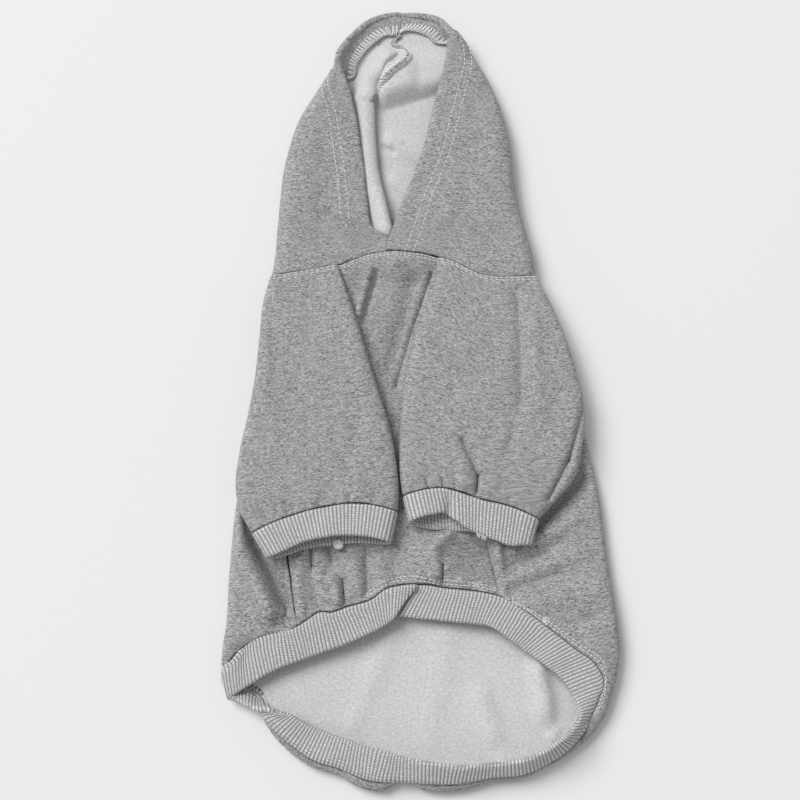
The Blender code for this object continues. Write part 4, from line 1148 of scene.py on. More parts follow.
# Stations round each half, from the neck seam up to the centre seam at the top.
# centre: on the seam that joins the halves; edge: the turned-in front edge, with its height.
LEFT_HOOD = [
    Hood(-79.0, 51.8, 13.6, 180, -14.0, 51.8, -15.0, 66.4, 8.8),
    Hood(-77.2, 63.0, 13.6, 180, -14.3, 66.0, -16.0, 73.5, 8.8),
    Hood(-76.2, 80.0, 13.4, 180, -14.8, 80.0, -26.0, 79.8, 9.4),
    Hood(-75.0, 98.0, 13.0, 180, -19.6, 97.0, -29.0, 98.0, 10.0),
    Hood(-73.5, 114.0, 12.6, 180, -24.8, 113.0, -30.5, 113.0, 10.4),
    Hood(-70.5, 128.0, 12.4, 180, -26.4, 128.0, -32.8, 128.0, 10.6),
    Hood(-66.0, 143.0, 12.2, 180, -27.4, 144.0, -35.0, 143.0, 10.8),
    Hood(-57.0, 159.5, 12.0, 180, -25.4, 156.0, -38.5, 158.0, 11.0),
    Hood(-51.0, 170.0, 12.0, 170, -18.6, 165.0, -42.5, 171.0, 11.4),
    Hood(-47.5, 178.0, 16.0, 110, -13.0, 171.5, -45.0, 179.0, 12.6),
    Hood(-42.5, 187.6, 16.0, 66, -6.5, 176.5, -42.4, 187.5, 10.4),
    Hood(-35.4, 198.0, 10.5, 56, -4.2, 182.5, -35.4, 197.8, 6.6),
    Hood(-27.0, 205.8, 8.0, 50, -8.0, 187.6, -27.2, 205.6, 4.8),
    Hood(-17.5, 209.6, 6.8, 50, -14.5, 191.2, -17.8, 209.4, 4.0),
    Hood(-10.0, 210.4, 6.4, 50, -12.5, 196.4, -10.2, 210.2, 3.7),
]
RIGHT_HOOD = [
    Hood(61.5, 51.8, 13.6, 180, -14.0, 51.8, -17.5, 66.8, 12.9),
    Hood(59.8, 66.0, 13.6, 180, -14.3, 66.0, -14.5, 75.0, 12.9),
    Hood(55.8, 82.0, 13.4, 180, -14.8, 80.0, -11.5, 84.5, 12.7),
    Hood(52.8, 96.0, 13.2, 180, -19.6, 97.0, -7.7, 96.0, 12.3),
    Hood(51.0, 112.0, 13.0, 180, -24.8, 113.0, -1.6, 112.0, 11.4),
    Hood(49.8, 126.0, 12.8, 180, -26.4, 128.0, 3.4, 127.0, 11.4),
    Hood(47.2, 141.0, 12.6, 180, -27.4, 144.0, 6.6, 141.0, 11.4),
    Hood(42.0, 158.0, 12.4, 180, -25.4, 156.0, 10.8, 158.5, 11.6),
    Hood(36.5, 170.5, 12.4, 180, -18.6, 165.0, 13.8, 171.0, 11.8),
    Hood(30.6, 180.5, 12.6, 180, -13.0, 171.5, 16.2, 182.0, 12.2),
    Hood(27.7, 187.5, 13.4, 175, -6.5, 176.5, 16.4, 189.5, 12.6),
    Hood(22.3, 195.6, 15.0, 150, -4.2, 182.5, 14.6, 196.0, 13.0),
    Hood(14.4, 204.2, 13.5, 92, -8.0, 187.6, 12.2, 203.4, 8.8),
    Hood(2.0, 209.3, 7.4, 50, -14.5, 191.2, 2.0, 209.1, 4.4),
    Hood(-10.0, 210.4, 6.4, 50, -12.5, 196.4, -10.2, 210.2, 3.7),
]
LEFT_FLAP = [
    Crease(-50.6, 88.0, -36.0, 80.0, 3.4, -2.0),       # where the front edge turns under the lap
    Crease(-36.0, 80.0, -22.0, 70.5, 3.0, -1.6),
    Crease(-60.0, 60.0, -40.0, 66.0, 9.0, 0.6),
    Crease(-58.0, 150.0, -60.0, 95.0, 9.0, 0.5),
]
RIGHT_FLAP = [
    Crease(11.4, 200.0, 16.8, 191.0, 1.5, -2.0),       # the short crease at the crown
    Crease(22.0, 120.0, 14.0, 82.0, 9.0, 0.6),
    Crease(40.0, 72.0, 8.0, 76.0, 9.0, -0.5),
    Crease(36.0, 150.0, 40.0, 100.0, 8.0, 0.4),
]
RIGHT_FLOOR = [
    Crease(-16.0, 131.0, 2.0, 124.0, 10.0, 3.0),
    Crease(-20.0, 129.5, -14.0, 126.5, 2.8, -3.2),     # the dimple beside the ridge
    Crease(-17.0, 133.8, -10.0, 131.0, 2.4, 1.2),
    Crease(-14.7, 110.0, -4.0, 104.0, 8.0, 1.4),
]
LEFT_FLOOR = [
    Crease(-34.0, 190.0, -26.0, 178.0, 5.0, -0.6),
]
FLOOR_HIGHEST = (9.5, 6.0)      # the fleece's rise, at most, in the opening and under its right edge
# The tall soft ridge of fleece beside the centre seam, with its steep side to the right.
RIDGE = np.array([
    (-18.0, 72.0), (-19.5, 78.5), (-21.6, 87.0), (-24.6, 99.8), (-27.6, 114.0), (-28.8, 126.2),
    (-29.8, 140.0), (-30.0, 154.0), (-27.6, 168.0), (-22.0, 179.0), (-16.0, 184.0),
])
# The ridge's own cut, from left to right: place on the flat cloth, then how far it is moved
# to the right and up.  Its right side leans over, so that it is lit against its own shadow.
RIDGE_CUT = np.array([
    (-9.0, 0.0, 0.0), (-7.0, 0.0, 1.4), (-4.8, 0.3, 4.6), (-2.8, 0.8, 6.7), (-1.0, 1.5, 7.5),
    (0.5, 2.4, 7.0), (1.6, 2.9, 5.6), (2.4, 2.1, 3.6), (3.2, 0.8, 1.6), (4.2, 0.2, 0.4), (5.4, 0.0, 0.0),
])


def opening_fold(spots):
    """How far the fleece rises above the soft slanting fold in the opening."""
    above = spots[..., 1] - 161.5 - (spots[..., 0] + 16.0) * 0.32
    return (10.5 * ease((above + 9.5) / 11.0) * ease((192.0 - spots[..., 1]) / 18.0)
            * ease((spots[..., 0] + 26.0) / 9.0) + 1.2 * np.exp(-((above - 1.0) / 3.0) ** 2))


def ridge_shift(spots):
    """How far the tall ridge moves the fleece to the right and up."""
    (across, up), ended = line_cut(spots, RIDGE, RIDGE_CUT)
    high = (np.exp(-(ended / 4.0) ** 2) * ease((spots[..., 1] - 66.0) / 14.0)
            * (1.0 - 0.7 * ease((spots[..., 1] - 168.0) / 20.0)))
    return np.stack([high * across, np.zeros_like(high), high * up], axis=-1)


def hood_neck(x, z):
    """Where the hood starts: the back of the neck on the table, the front of it above."""
    turned = ease((z - NECK_FOLD_LOW) / (NECK_FOLD_HIGH - NECK_FOLD_LOW))
    return blend(NECK_BACK, neck_at(x), turned) + NECK_GAP


def hood_section(rows, index, side):
    """One section of half the hood: from the centre seam out, up the fold and to the edge."""
    row = rows[index]
    out = outward(rows, index) * side
    arc = turned_edge(row, out)
    centre = np.array([row.centre_x, row.centre_y, HALF])
    way = arc[0] - centre
    centre += way / np.linalg.norm(way) * (SEAM_GAP / 2)
    under = [blend(centre, arc[0], step / 5) for step in range(5)]
    edge = np.array([row.edge_x, row.edge_y, row.edge_z])
    edge -= (edge - arc[-1]) / np.linalg.norm(edge - arc[-1]) * FACING_FOLD
    flap = [blend(arc[-1], edge, step / 6) for step in range(1, 7)]
    section = np.array(under + list(arc) + flap)
    if index == 0:
        section[:, 1] = hood_neck(section[:, 0], section[:, 2])
    return section


FLOOR_POINTS, ARC_POINTS = 5, 9      # of a section, on the table and round the fold
HOOD_STEP = 1.15          # from one row or column of points to the next
DENSE_FLOOR = 24.0        # how far from the centre seam the cloth is drawn more finely
DENSE_STEP = 0.5
CROWN_TURN = 150.0        # where the cloth turns over by less than this, the crown begins
CROWN_ROUNDS = 220        # rounds of smoothing there
ALLOWANCE = 4.5           # width of the serged allowance beside the centre seam, whose inner face is painted with the darker knit as shade between its threads
SEAM_HIDDEN = (103.0, 153.0)      # along Y, where the tall ridge hides the centre seam


def sew_hood(name, node, table, side, floor_creases, flap_creases, seed):
    """Half of the hood; returns its grid, its way out and the column of its front edge."""
    sections = np.array([hood_section(table, index, side) for index in range(len(table))])
    sections[-1, :, 0] = table[-1].x + side * 0.05
    steps = mean_runs(sections)
    places = places_along(steps[-1], HOOD_STEP, False)
    places = np.concatenate([np.arange(0.0, DENSE_FLOOR, DENSE_STEP), places[places >= DENSE_FLOOR]])
    knots = lengths_along(sections.mean(axis=1))
    row_places = places_along(knots[-1], HOOD_STEP, True)
    grid = smooth_curve(knots, sections, row_places)
    grid = smooth_curve(steps, grid.transpose(1, 0, 2), places).transpose(1, 0, 2)
    floor = 1.0 - ease((places - steps[FLOOR_POINTS] + 2.0) / 6.0)
    flap = ease((places - steps[FLOOR_POINTS + ARC_POINTS - 1] + 3.0) / 6.0)
    base = edge_away(grid, ends=(True, False), sides=(False, False))
    settle = 0.3 + 0.7 * ease(base / 5.0)
    turned = smooth_curve(knots, np.array([[float(row.turn)] for row in table]), row_places)
    at_crown = ease((CROWN_TURN - turned) / 60.0)
    crown = 0.3 * at_crown[..., None]
    for _ in range(CROWN_ROUNDS):
        # Rounds off the bend between the wall of the crown and its edge.
        grid[:, 1:-1] += crown * (grid[:, 2:] + grid[:, :-2] - 2 * grid[:, 1:-1])
    grid[..., 2] = np.maximum(grid[..., 2], HALF)
    shown = np.maximum(ease((grid[:, :1, 1] - SEAM_HIDDEN[1]) / 3.0),
                       ease((SEAM_HIDDEN[0] - grid[:, :1, 1]) / 3.0))
    allowance = shown * 1.9 * np.exp(-((places - 2.4) / 2.0) ** 2) if side < 0 else 0.0
    highest = blend(FLOOR_HIGHEST[0], FLOOR_HIGHEST[1], ease((grid[..., 0] + 8.0) / 9.0))
    raised = highest * np.tanh((crease_lift(grid, floor_creases) + opening_fold(grid)) / highest)
    lift = floor * np.maximum(raised, -0.3) + allowance
    lift = lift + flap * (crease_lift(grid, flap_creases) + uneven(grid, 40.0, 0.4, seed))
    if side < 0:
        grid += (settle * floor)[..., None] * ridge_shift(grid)
    grid[..., 2] += settle * lift
    # The facing runs back under the flap, from the fold at the front edge.
    faces = grid_faces(*grid.shape[:2], flip=side > 0)
    out = normals_of(grid.reshape(-1, 3), faces).reshape(grid.shape)
    edge_way = grid[:, -1] - grid[:, -3]
    edge_way /= np.linalg.norm(edge_way, axis=1, keepdims=True)
    edge_out = out[:, -1]
    back_from_edge = run_across(grid)[:, -1:] - run_across(grid)
    turn = []
    for angle in np.linspace(0.0, math.pi, 7)[1:]:
        turn.append(grid[:, -1] + edge_way * (FACING_FOLD * math.sin(angle))
                    - edge_out * (FACING_FOLD * (1 - math.cos(angle))))
    narrow = blend(1.0, CROWN_FACING, at_crown[:, 0])
    strip = []
    for distance in np.linspace(0.0, FACING, 15)[1:]:
        spot, way = np.empty((2, len(grid), 3))
        for index, backward in enumerate(back_from_edge[:, ::-1]):
            for axis in range(3):
                inward = distance * narrow[index]
                spot[index, axis] = np.interp(inward, backward, grid[index, ::-1, axis])
                way[index, axis] = np.interp(inward, backward, out[index, ::-1, axis])
        way /= np.linalg.norm(way, axis=1, keepdims=True)
        strip.append(spot - way * 2 * FACING_FOLD)
    front = grid.shape[1] - 1
    grid = np.concatenate([grid, np.stack(turn + strip, axis=1)], axis=1)
    grid[..., 2] = np.maximum(grid[..., 2], HALF - 0.3)
    across, down = run_across(grid), run_down(grid)
    # The cloth's own pattern runs straight over the half when it is unrolled flat.
    outward_way = grid[:, int(np.searchsorted(places, steps[FLOOR_POINTS])), :2] - grid[:, 0, :2]
    outward_way /= np.linalg.norm(outward_way, axis=1, keepdims=True)
    uv = grid[:, :1, :2] + outward_way[:, None, :] * across[..., None]
    piece, out = sew_piece(name, grid.reshape(-1, 3), grid_faces(*grid.shape[:2], flip=side > 0),
                           seam_half(edge_away(grid)).ravel(), uv.reshape(-1, 2), MARL, FLEECE)
    if side < 0:
        # The seam allowance beside the centre seam takes the darker marl knit on its inner face in place
        # of its fleece: painted shade between the serging's threads.
        slots = np.zeros(len(piece.data.polygons), np.int32)
        piece.data.polygons.foreach_get("material_index", slots)
        quads = (grid.shape[0] - 1) * (grid.shape[1] - 1)
        inner = slots[quads:2 * quads].reshape(grid.shape[0] - 1, grid.shape[1] - 1)
        inner[grid[:-1, 0, 1] > SEAM_HIDDEN[1], :int(ALLOWANCE / DENSE_STEP)] = 0
        inner[grid[:-1, 0, 1] < SEAM_HIDDEN[0], :2] = 0
        piece.data.polygons.foreach_set("material_index", slots)
    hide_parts(node)
    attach(piece, "root")
    return piece, grid, out.reshape(grid.shape), front


left_hood, left_hood_grid, left_hood_out, left_front = sew_hood(
    "left_hood", "hood_left", LEFT_HOOD, -1.0, LEFT_FLOOR, LEFT_FLAP, 31)
right_hood, right_hood_grid, right_hood_out, right_front = sew_hood(
    "right_hood", "hood_right", RIGHT_HOOD, 1.0, RIGHT_FLOOR, RIGHT_FLAP, 32)


# ---------------------------------------------------------------- hem band
# One strip of rib round the whole hem, as thick as two layers of it.  Its left end lies higher
# where its ends meet below the belly.  It twists over at the left corner, showing its inner face.
BAND_BEND = 1.6           # length over which the band follows the cloth it is sewn to
LOOSE_GAP = 1.4           # the seam's gap where the cloth turns under, from the left corner on
LOOSE_ROWS = range(3, 26)                       # the rows of the table HEM there
BAND_COLUMN = 2           # the column along which the ribs are counted


def band_row(before, seam, edge, gap=SEAM_GAP):
    """A section of the band: on from the cloth it is sewn to, then to its free edge."""
    onward = (seam - before) / np.linalg.norm(seam - before)
    start = seam + onward * gap
    bend = start + onward * BAND_BEND
    return [start, bend] + [blend(bend, edge, share) for share in (0.35, 0.7, 1.0)]


def belly_band_row(lap):
    """A section of the band below the belly."""
    seam = np.array([lap.seam_x, lap.seam_y, belly_point(0.0, 0.0)[2] - lap.drop])
    return band_row(seam + (0.0, 1.0, 0.0), seam, np.array([lap.edge_x, lap.edge_y, lap.edge_z]))


band_rows = [belly_band_row(lap) for lap in LAP_END + BELLY_HEM[LEFT_END - 2:0:-1]]
for index, hem in enumerate(HEM):
    section = back_sections[len(LEFT_SIDE) + index]
    before = section[-1] + (0.0, 1.0, 0.0) if index in (0, len(HEM) - 1) else section[-2]
    gap = LOOSE_GAP if index in LOOSE_ROWS else SEAM_GAP
    band_rows.append(band_row(before, section[-1], np.array([hem.edge_x, hem.edge_y, hem.edge_z]), gap))
band_rows += [belly_band_row(lap) for lap in BELLY_HEM[-2:LEFT_END:-1] + [RIGHT_END]]
band_rows = np.array(band_rows)
band_knots = lengths_along(band_rows[:, 0])
dense = np.linspace(0.0, band_knots[-1], 4000)
rib_run = lengths_along(smooth_curve(band_knots, band_rows[:, BAND_COLUMN], dense))
rib_count = round(rib_run[-1] / RIB_PITCH)
rib_across = np.linspace(0.0, rib_count * RIB_PITCH, rib_count * RIB_SAMPLES + 1)
band_places = np.interp(rib_across / rib_across[-1], rib_run / rib_run[-1], dense)
band_grid = smooth_curve(band_knots, band_rows, band_places)
steps = mean_runs(band_rows)
band_grid = smooth_curve(steps, band_grid.transpose(1, 0, 2), places_along(steps[-1], 1.5, True))
band_grid = band_grid.transpose(1, 0, 2)
band_down, band_across = run_across(band_grid), run_down(band_grid)
band_away = np.minimum(band_down, band_down[:, -1:] - band_down)
end_away = np.minimum(band_across[:, 4], band_across[-1, 4] - band_across[:, 4])[:, None]
band_share = band_down / band_down[:, -1:]
band_grid[..., 2] += uneven(band_grid, 30.0, 0.3, 41) * ease(band_share * 2.5)
band_relief = rib_height(rib_across)[:, None] * ease(band_away / 1.6) * ease(end_away / 1.0)
band_uv = np.stack([np.broadcast_to(rib_across[:, None], band_down.shape), band_down], axis=-1)
band_faces = grid_faces(*band_grid.shape[:2], flip=True)
band, _ = sew_piece("band", band_grid.reshape(-1, 3), band_faces,
                    rounded(np.minimum(band_away, end_away), RIB / 2).ravel(),
                    band_uv.reshape(-1, 2), RIB_KNIT, RIB_KNIT, band_relief.ravel())
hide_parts("hem_band")
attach(band, "root")


# ---------------------------------------------------------------- stitches
# White topstitching: two rows along the hood's front edge, two below the neck seam and two
# above the hem.  Each stitch is a small rounded bead of thread, placed by Geometry Nodes.
STITCH_PITCH = 2.7        # from one stitch to the next
STITCH_LENGTH = 2.0
STITCH_THICK = 0.42
FINE_STITCHES = (2.2, 1.7)      # the pitch and length of those on the belly and above the hem
STITCH_LIFT = HALF + 0.05       # height of their middle above the cloth's
HOOD_ROWS = (9.0, 13.2)   # distances of the rows from the hood's front edge
NECK_ROWS = (0.9, 2.3)    # and from the neck seam
HEM_ROWS = (1.7, 3.6)     # and from the hem band's seam
STITCH_START = -27.0      # along X, where the hem's rows come out of the puckers of the belly
STITCH_END = -174.0       # along Y, where they turn under at the right


def thread_material(name, dark, pale):
    """Spun thread, a little uneven in its colour."""
    material = bpy.data.materials.new(name)
    material.use_nodes = True
    tree = material.node_tree
    shader = tree.nodes["Principled BSDF"]
    place = tree.nodes.new("ShaderNodeTexCoord")
    strands = tree.nodes.new("ShaderNodeTexNoise")
    strands.inputs["Scale"].default_value = 900.0
    tree.links.new(place.outputs["Object"], strands.inputs["Vector"])
    shade = tree.nodes.new("ShaderNodeMix")
    shade.data_type = "RGBA"
    shade.inputs[6].default_value = dark + (1.0,)
    shade.inputs[7].default_value = pale + (1.0,)
    tree.links.new(strands.outputs["Fac"], shade.inputs["Factor"])
    tree.links.new(shade.outputs[2], shader.inputs["Base Color"])
    relief = tree.nodes.new("ShaderNodeBump")
    relief.inputs["Strength"].default_value = 0.5
    relief.inputs["Distance"].default_value = 0.1 * MM
    tree.links.new(strands.outputs["Fac"], relief.inputs["Height"])
    tree.links.new(relief.outputs["Normal"], shader.inputs["Normal"])
    shader.inputs["Roughness"].default_value = 0.7
    shader.inputs["Sheen Weight"].default_value = 0.1
    return material


WHITE_THREAD = thread_material("white_thread", (0.78, 0.79, 0.78), (0.95, 0.95, 0.94))


def column_away(grid, start, distance, way):
    """In each row of a grid, the column at this distance from a start column."""
    found = np.empty(len(grid))
    distances = np.broadcast_to(distance, len(grid))
    for index, row in enumerate(run_across(grid)):
        if way < 0:
            found[index] = np.interp(distances[index], row[start] - row[start::-1],
                                     np.arange(start, -1, -1))
        else:
            found[index] = np.interp(distances[index], row[start:] - row[start],
                                     np.arange(start, len(row)))
    return found


def on_cloth(grid, out, rows, columns, lift):
    """Points over a piece, and the way out there, at places between its rows and columns."""
    rows = np.clip(rows, 0.0, grid.shape[0] - 1.001)
    columns = np.clip(columns, 0.0, grid.shape[1] - 1.001)
    r, c = rows.astype(int), columns.astype(int)
    y, x = (rows - r)[:, None], (columns - c)[:, None]
    mixed = []
    for table in (grid, out):
        mixed.append(table[r, c] * (1 - y) * (1 - x) + table[r + 1, c] * y * (1 - x)
                     + table[r, c + 1] * (1 - y) * x + table[r + 1, c + 1] * y * x)
    spot, way = mixed
    way = way / np.linalg.norm(way, axis=1, keepdims=True)
    return spot + way * lift, way if lift > 0 else -way


def line_mesh(name, lines):
    """A mesh of open lines; up keeps the way out of the cloth at each point."""
    points = np.concatenate([line[0] for line in lines]) * MM
    points[:, 2] = np.maximum(points[:, 2], 0.5 * MM)
    ups = np.concatenate([line[1] for line in lines])
    edges, start = [], 0
    for line in lines:
        edges += [(start + i, start + i + 1) for i in range(len(line[0]) - 1)]
        start += len(line[0])
    mesh = bpy.data.meshes.new(name)
    mesh.from_pydata(points.tolist(), edges, [])
    mesh.attributes.new("up", "FLOAT_VECTOR", "POINT").data.foreach_set("vector", ups.ravel())
    return mesh


def stitch_tree():
    """Geometry Nodes: beads of thread along a line, each lying along it and flat on the cloth."""
    tree = bpy.data.node_groups.new("stitch_row", "GeometryNodeTree")
    for title, kind in (("Line", "NodeSocketGeometry"), ("Pitch", "NodeSocketFloat"),
                        ("Length", "NodeSocketFloat"), ("Thick", "NodeSocketFloat"),
                        ("Thread", "NodeSocketMaterial"), ("Seed", "NodeSocketInt")):
        tree.interface.new_socket(title, in_out="INPUT", socket_type=kind)
    tree.interface.new_socket("Stitches", in_out="OUTPUT", socket_type="NodeSocketGeometry")
    node, link = tree.nodes.new, tree.links.new
    given, result = node("NodeGroupInput"), node("NodeGroupOutput")
    curve = node("GeometryNodeMeshToCurve")
    link(given.outputs["Line"], curve.inputs["Mesh"])
    spots = node("GeometryNodeCurveToPoints")
    spots.mode = "LENGTH"
    link(curve.outputs["Curve"], spots.inputs["Curve"])
    link(given.outputs["Pitch"], spots.inputs["Length"])
    bead = node("GeometryNodeMeshUVSphere")
    bead.inputs["Segments"].default_value = 8
    bead.inputs["Rings"].default_value = 6
    bead.inputs["Radius"].default_value = 0.5
    size = node("ShaderNodeCombineXYZ")
    link(given.outputs["Length"], size.inputs["X"])
    link(given.outputs["Thick"], size.inputs["Y"])
    link(given.outputs["Thick"], size.inputs["Z"])
    shape = node("GeometryNodeTransform")
    link(bead.outputs["Mesh"], shape.inputs["Geometry"])
    link(size.outputs["Vector"], shape.inputs["Scale"])
    along = node("FunctionNodeAlignRotationToVector")
    along.axis = "X"
    link(spots.outputs["Tangent"], along.inputs["Vector"])
    up = node("GeometryNodeInputNamedAttribute")
    up.data_type = "FLOAT_VECTOR"
    up.inputs["Name"].default_value = "up"
    level = node("FunctionNodeAlignRotationToVector")
    level.axis = "Z"
    level.pivot_axis = "X"
    link(along.outputs["Rotation"], level.inputs["Rotation"])
    link(up.outputs["Attribute"], level.inputs["Vector"])
    chance = node("FunctionNodeRandomValue")
    chance.data_type = "FLOAT_VECTOR"
    chance.inputs[0].default_value = (-0.02, -0.02, -0.11)
    chance.inputs[1].default_value = (0.02, 0.02, 0.11)
    link(given.outputs["Seed"], chance.inputs["Seed"])
    sway = node("FunctionNodeEulerToRotation")
    link(chance.outputs["Value"], sway.inputs["Euler"])
    turned = node("FunctionNodeRotateRotation")
    turned.rotation_space = "LOCAL"
    link(level.outputs["Rotation"], turned.inputs["Rotation"])
    link(sway.outputs["Rotation"], turned.inputs["Rotate By"])
    place = node("GeometryNodeInstanceOnPoints")
    link(spots.outputs["Points"], place.inputs["Points"])
    link(shape.outputs["Geometry"], place.inputs["Instance"])
    link(turned.outputs["Rotation"], place.inputs["Rotation"])
    real = node("GeometryNodeRealizeInstances")
    link(place.outputs["Instances"], real.inputs["Geometry"])
    smooth = node("GeometryNodeSetShadeSmooth")
    link(real.outputs["Geometry"], smooth.inputs["Geometry"])
    paint = node("GeometryNodeSetMaterial")
    link(smooth.outputs["Geometry"], paint.inputs["Geometry"])
    link(given.outputs["Thread"], paint.inputs["Material"])
    link(paint.outputs["Geometry"], result.inputs["Stitches"])
    return tree


def grow(name, tree, lines, values):
    """The mesh that a Geometry Nodes tree makes along some lines, as a plain piece."""
    host = bpy.data.objects.new(name + "_line", line_mesh(name + "_line", lines))
    bpy.context.scene.collection.objects.link(host)
    modifier = host.modifiers.new("grow", "NODES")
    modifier.node_group = tree
    for socket in tree.interface.items_tree:
        if socket.item_type == "SOCKET" and socket.in_out == "INPUT" and socket.name in values:
            modifier[socket.identifier] = values[socket.name]
    ready = host.evaluated_get(bpy.context.evaluated_depsgraph_get())
    mesh = bpy.data.meshes.new_from_object(ready)
    mesh.name = name
    line = host.data
    bpy.data.objects.remove(host, do_unlink=True)
    bpy.data.meshes.remove(line)
    piece = bpy.data.objects.new(name, mesh)
    bpy.context.scene.collection.objects.link(piece)
    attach(piece, "root")
    return piece


STITCH_ROW = stitch_tree()


def stitched(name, lines, seed, pitch=STITCH_PITCH, length=STITCH_LENGTH):
    """White topstitching along lines on the cloth."""
    values = {"Pitch": pitch * MM, "Length": length * MM, "Thick": STITCH_THICK * MM,
              "Thread": WHITE_THREAD, "Seed": seed}
    return grow(name, STITCH_ROW, lines, values)


def hood_lines(grid, out, front, lowest):
    """The two rows along a half's front edge, from its lowest place along Y that shows them."""
    rows = np.arange(2.0, len(grid) - 1.0)
    rows = rows[grid[rows.astype(int), front, 1] > lowest]
    columns = [np.interp(rows, np.arange(len(grid)), column_away(grid, front, gap, -1))
               for gap in HOOD_ROWS]
    return [on_cloth(grid, out, rows, line, STITCH_LIFT) for line in columns]


def neck_lines(grid, out, start, way, keep):
    """The two rows below the neck seam, over the columns that keep picks."""
    turned, turned_out = grid.transpose(1, 0, 2), out.transpose(1, 0, 2)
    columns = np.arange(len(turned), dtype=float)[keep]
    return [on_cloth(turned, turned_out, columns, column_away(turned, start, gap, way)[keep],
                     STITCH_LIFT) for gap in NECK_ROWS]


def rim_row(index):
    """The fine row of the back's rim that is nearest to a row of its tables."""
    return int(np.argmin(np.abs(rim_places - rim_knots[index])))


left_hood_rows = stitched("left_hood_stitches",
                          hood_lines(left_hood_grid, left_hood_out, left_front, 80.0), 1)
right_hood_rows = stitched("right_hood_stitches",
                           hood_lines(right_hood_grid, right_hood_out, right_front, 60.0), 2)
left_neck_rows = stitched("left_neck_stitches",
                          neck_lines(left_grid, left_out, 0, 1, left_out[3, :, 2] > 0.25), 3)
right_neck_rows = stitched("right_neck_stitches",
                           neck_lines(right_grid, right_out, 0, 1, right_out[3, :, 2] > 0.25), 4)
belly_keep = (belly_grid[-4, :, 0] > -44.0) & (belly_grid[-4, :, 0] < 10.0)
belly_neck_rows = neck_lines(belly_grid, belly_out, belly_grid.shape[0] - 1, -1, belly_keep)
belly_columns = np.arange(2.0, belly_grid.shape[1] - 2.0)
belly_columns = belly_columns[belly_grid[0, belly_columns.astype(int), 0] > STITCH_START]
belly_turned, belly_turned_out = belly_grid.transpose(1, 0, 2), belly_out.transpose(1, 0, 2)
belly_hem_rows = [on_cloth(belly_turned, belly_turned_out, belly_columns,
                           column_away(belly_turned, 0, gap, 1)[belly_columns.astype(int)],
                           STITCH_LIFT) for gap in HEM_ROWS]
belly_rows = stitched("belly_stitches", belly_neck_rows + belly_hem_rows, 5, *FINE_STITCHES)
first = rim_row(len(LEFT_SIDE)) + 1
last = rim_row(len(LEFT_SIDE) + len(HEM) - 1) - 1
rim_range = np.arange(first, last)
hem_y = rim_fine[first:last, -1, 1]
part = rim_range[(hem_y > STITCH_END) & (rim_fine[first:last, -1, 0] > 0)]
back_rows = stitched("back_stitches", [
    on_cloth(rim_fine, rim_out, part.astype(float),
             column_away(rim_fine, rim_columns - 1, gap, -1)[part], STITCH_LIFT)
    for gap in HEM_ROWS], 6, *FINE_STITCHES)


# ---------------------------------------------------------------- serged seams and loose threads
# Zigzag overedging: pale on the hood's facing and along its centre seam, dark on the side seam
# that shows inside the hem.  A few loose ends hang at the cuffs and the hem.
TOOTH = 1.95              # from one tooth of the zigzag to the next
THREAD = 0.5              # thickness of the looped thread
THREAD_LIFT = HALF + 0.1  # height of its middle above the cloth's

# Dark thread for the serging of the side seam; the same dark thread in the snag's hole on the belly is
# painted shade.
DARK_THREAD_AND_SHADE = thread_material("dark_thread_and_snag_shade", (0.05, 0.04, 0.06), (0.14, 0.11, 0.17))
RED_LINT = thread_material("red_lint", (0.45, 0.10, 0.10), (0.62, 0.20, 0.19))


def thread_tree():
    """Geometry Nodes: a round thread along a line."""
    tree = bpy.data.node_groups.new("thread", "GeometryNodeTree")
    for title, kind in (("Line", "NodeSocketGeometry"), ("Thick", "NodeSocketFloat"),
                        ("Thread", "NodeSocketMaterial")):
        tree.interface.new_socket(title, in_out="INPUT", socket_type=kind)
    tree.interface.new_socket("Threads", in_out="OUTPUT", socket_type="NodeSocketGeometry")
    node, link = tree.nodes.new, tree.links.new
    given, result = node("NodeGroupInput"), node("NodeGroupOutput")
    curve = node("GeometryNodeMeshToCurve")
    link(given.outputs["Line"], curve.inputs["Mesh"])
    half = node("ShaderNodeMath")
    half.operation = "MULTIPLY"
    half.inputs[1].default_value = 0.5
    link(given.outputs["Thick"], half.inputs[0])
    ring = node("GeometryNodeCurvePrimitiveCircle")
    ring.inputs["Resolution"].default_value = 6
    link(half.outputs[0], ring.inputs["Radius"])
    tube = node("GeometryNodeCurveToMesh")
    tube.inputs["Fill Caps"].default_value = True
    link(curve.outputs["Curve"], tube.inputs["Curve"])
    link(ring.outputs["Curve"], tube.inputs["Profile Curve"])
    smooth = node("GeometryNodeSetShadeSmooth")
    link(tube.outputs["Mesh"], smooth.inputs["Geometry"])
    real = node("GeometryNodeRealizeInstances")
    link(smooth.outputs["Geometry"], real.inputs["Geometry"])
    paint = node("GeometryNodeSetMaterial")
    link(real.outputs["Geometry"], paint.inputs["Geometry"])
    link(given.outputs["Thread"], paint.inputs["Material"])
    link(paint.outputs["Geometry"], result.inputs["Threads"])
    return tree


THREAD_LINE = thread_tree()


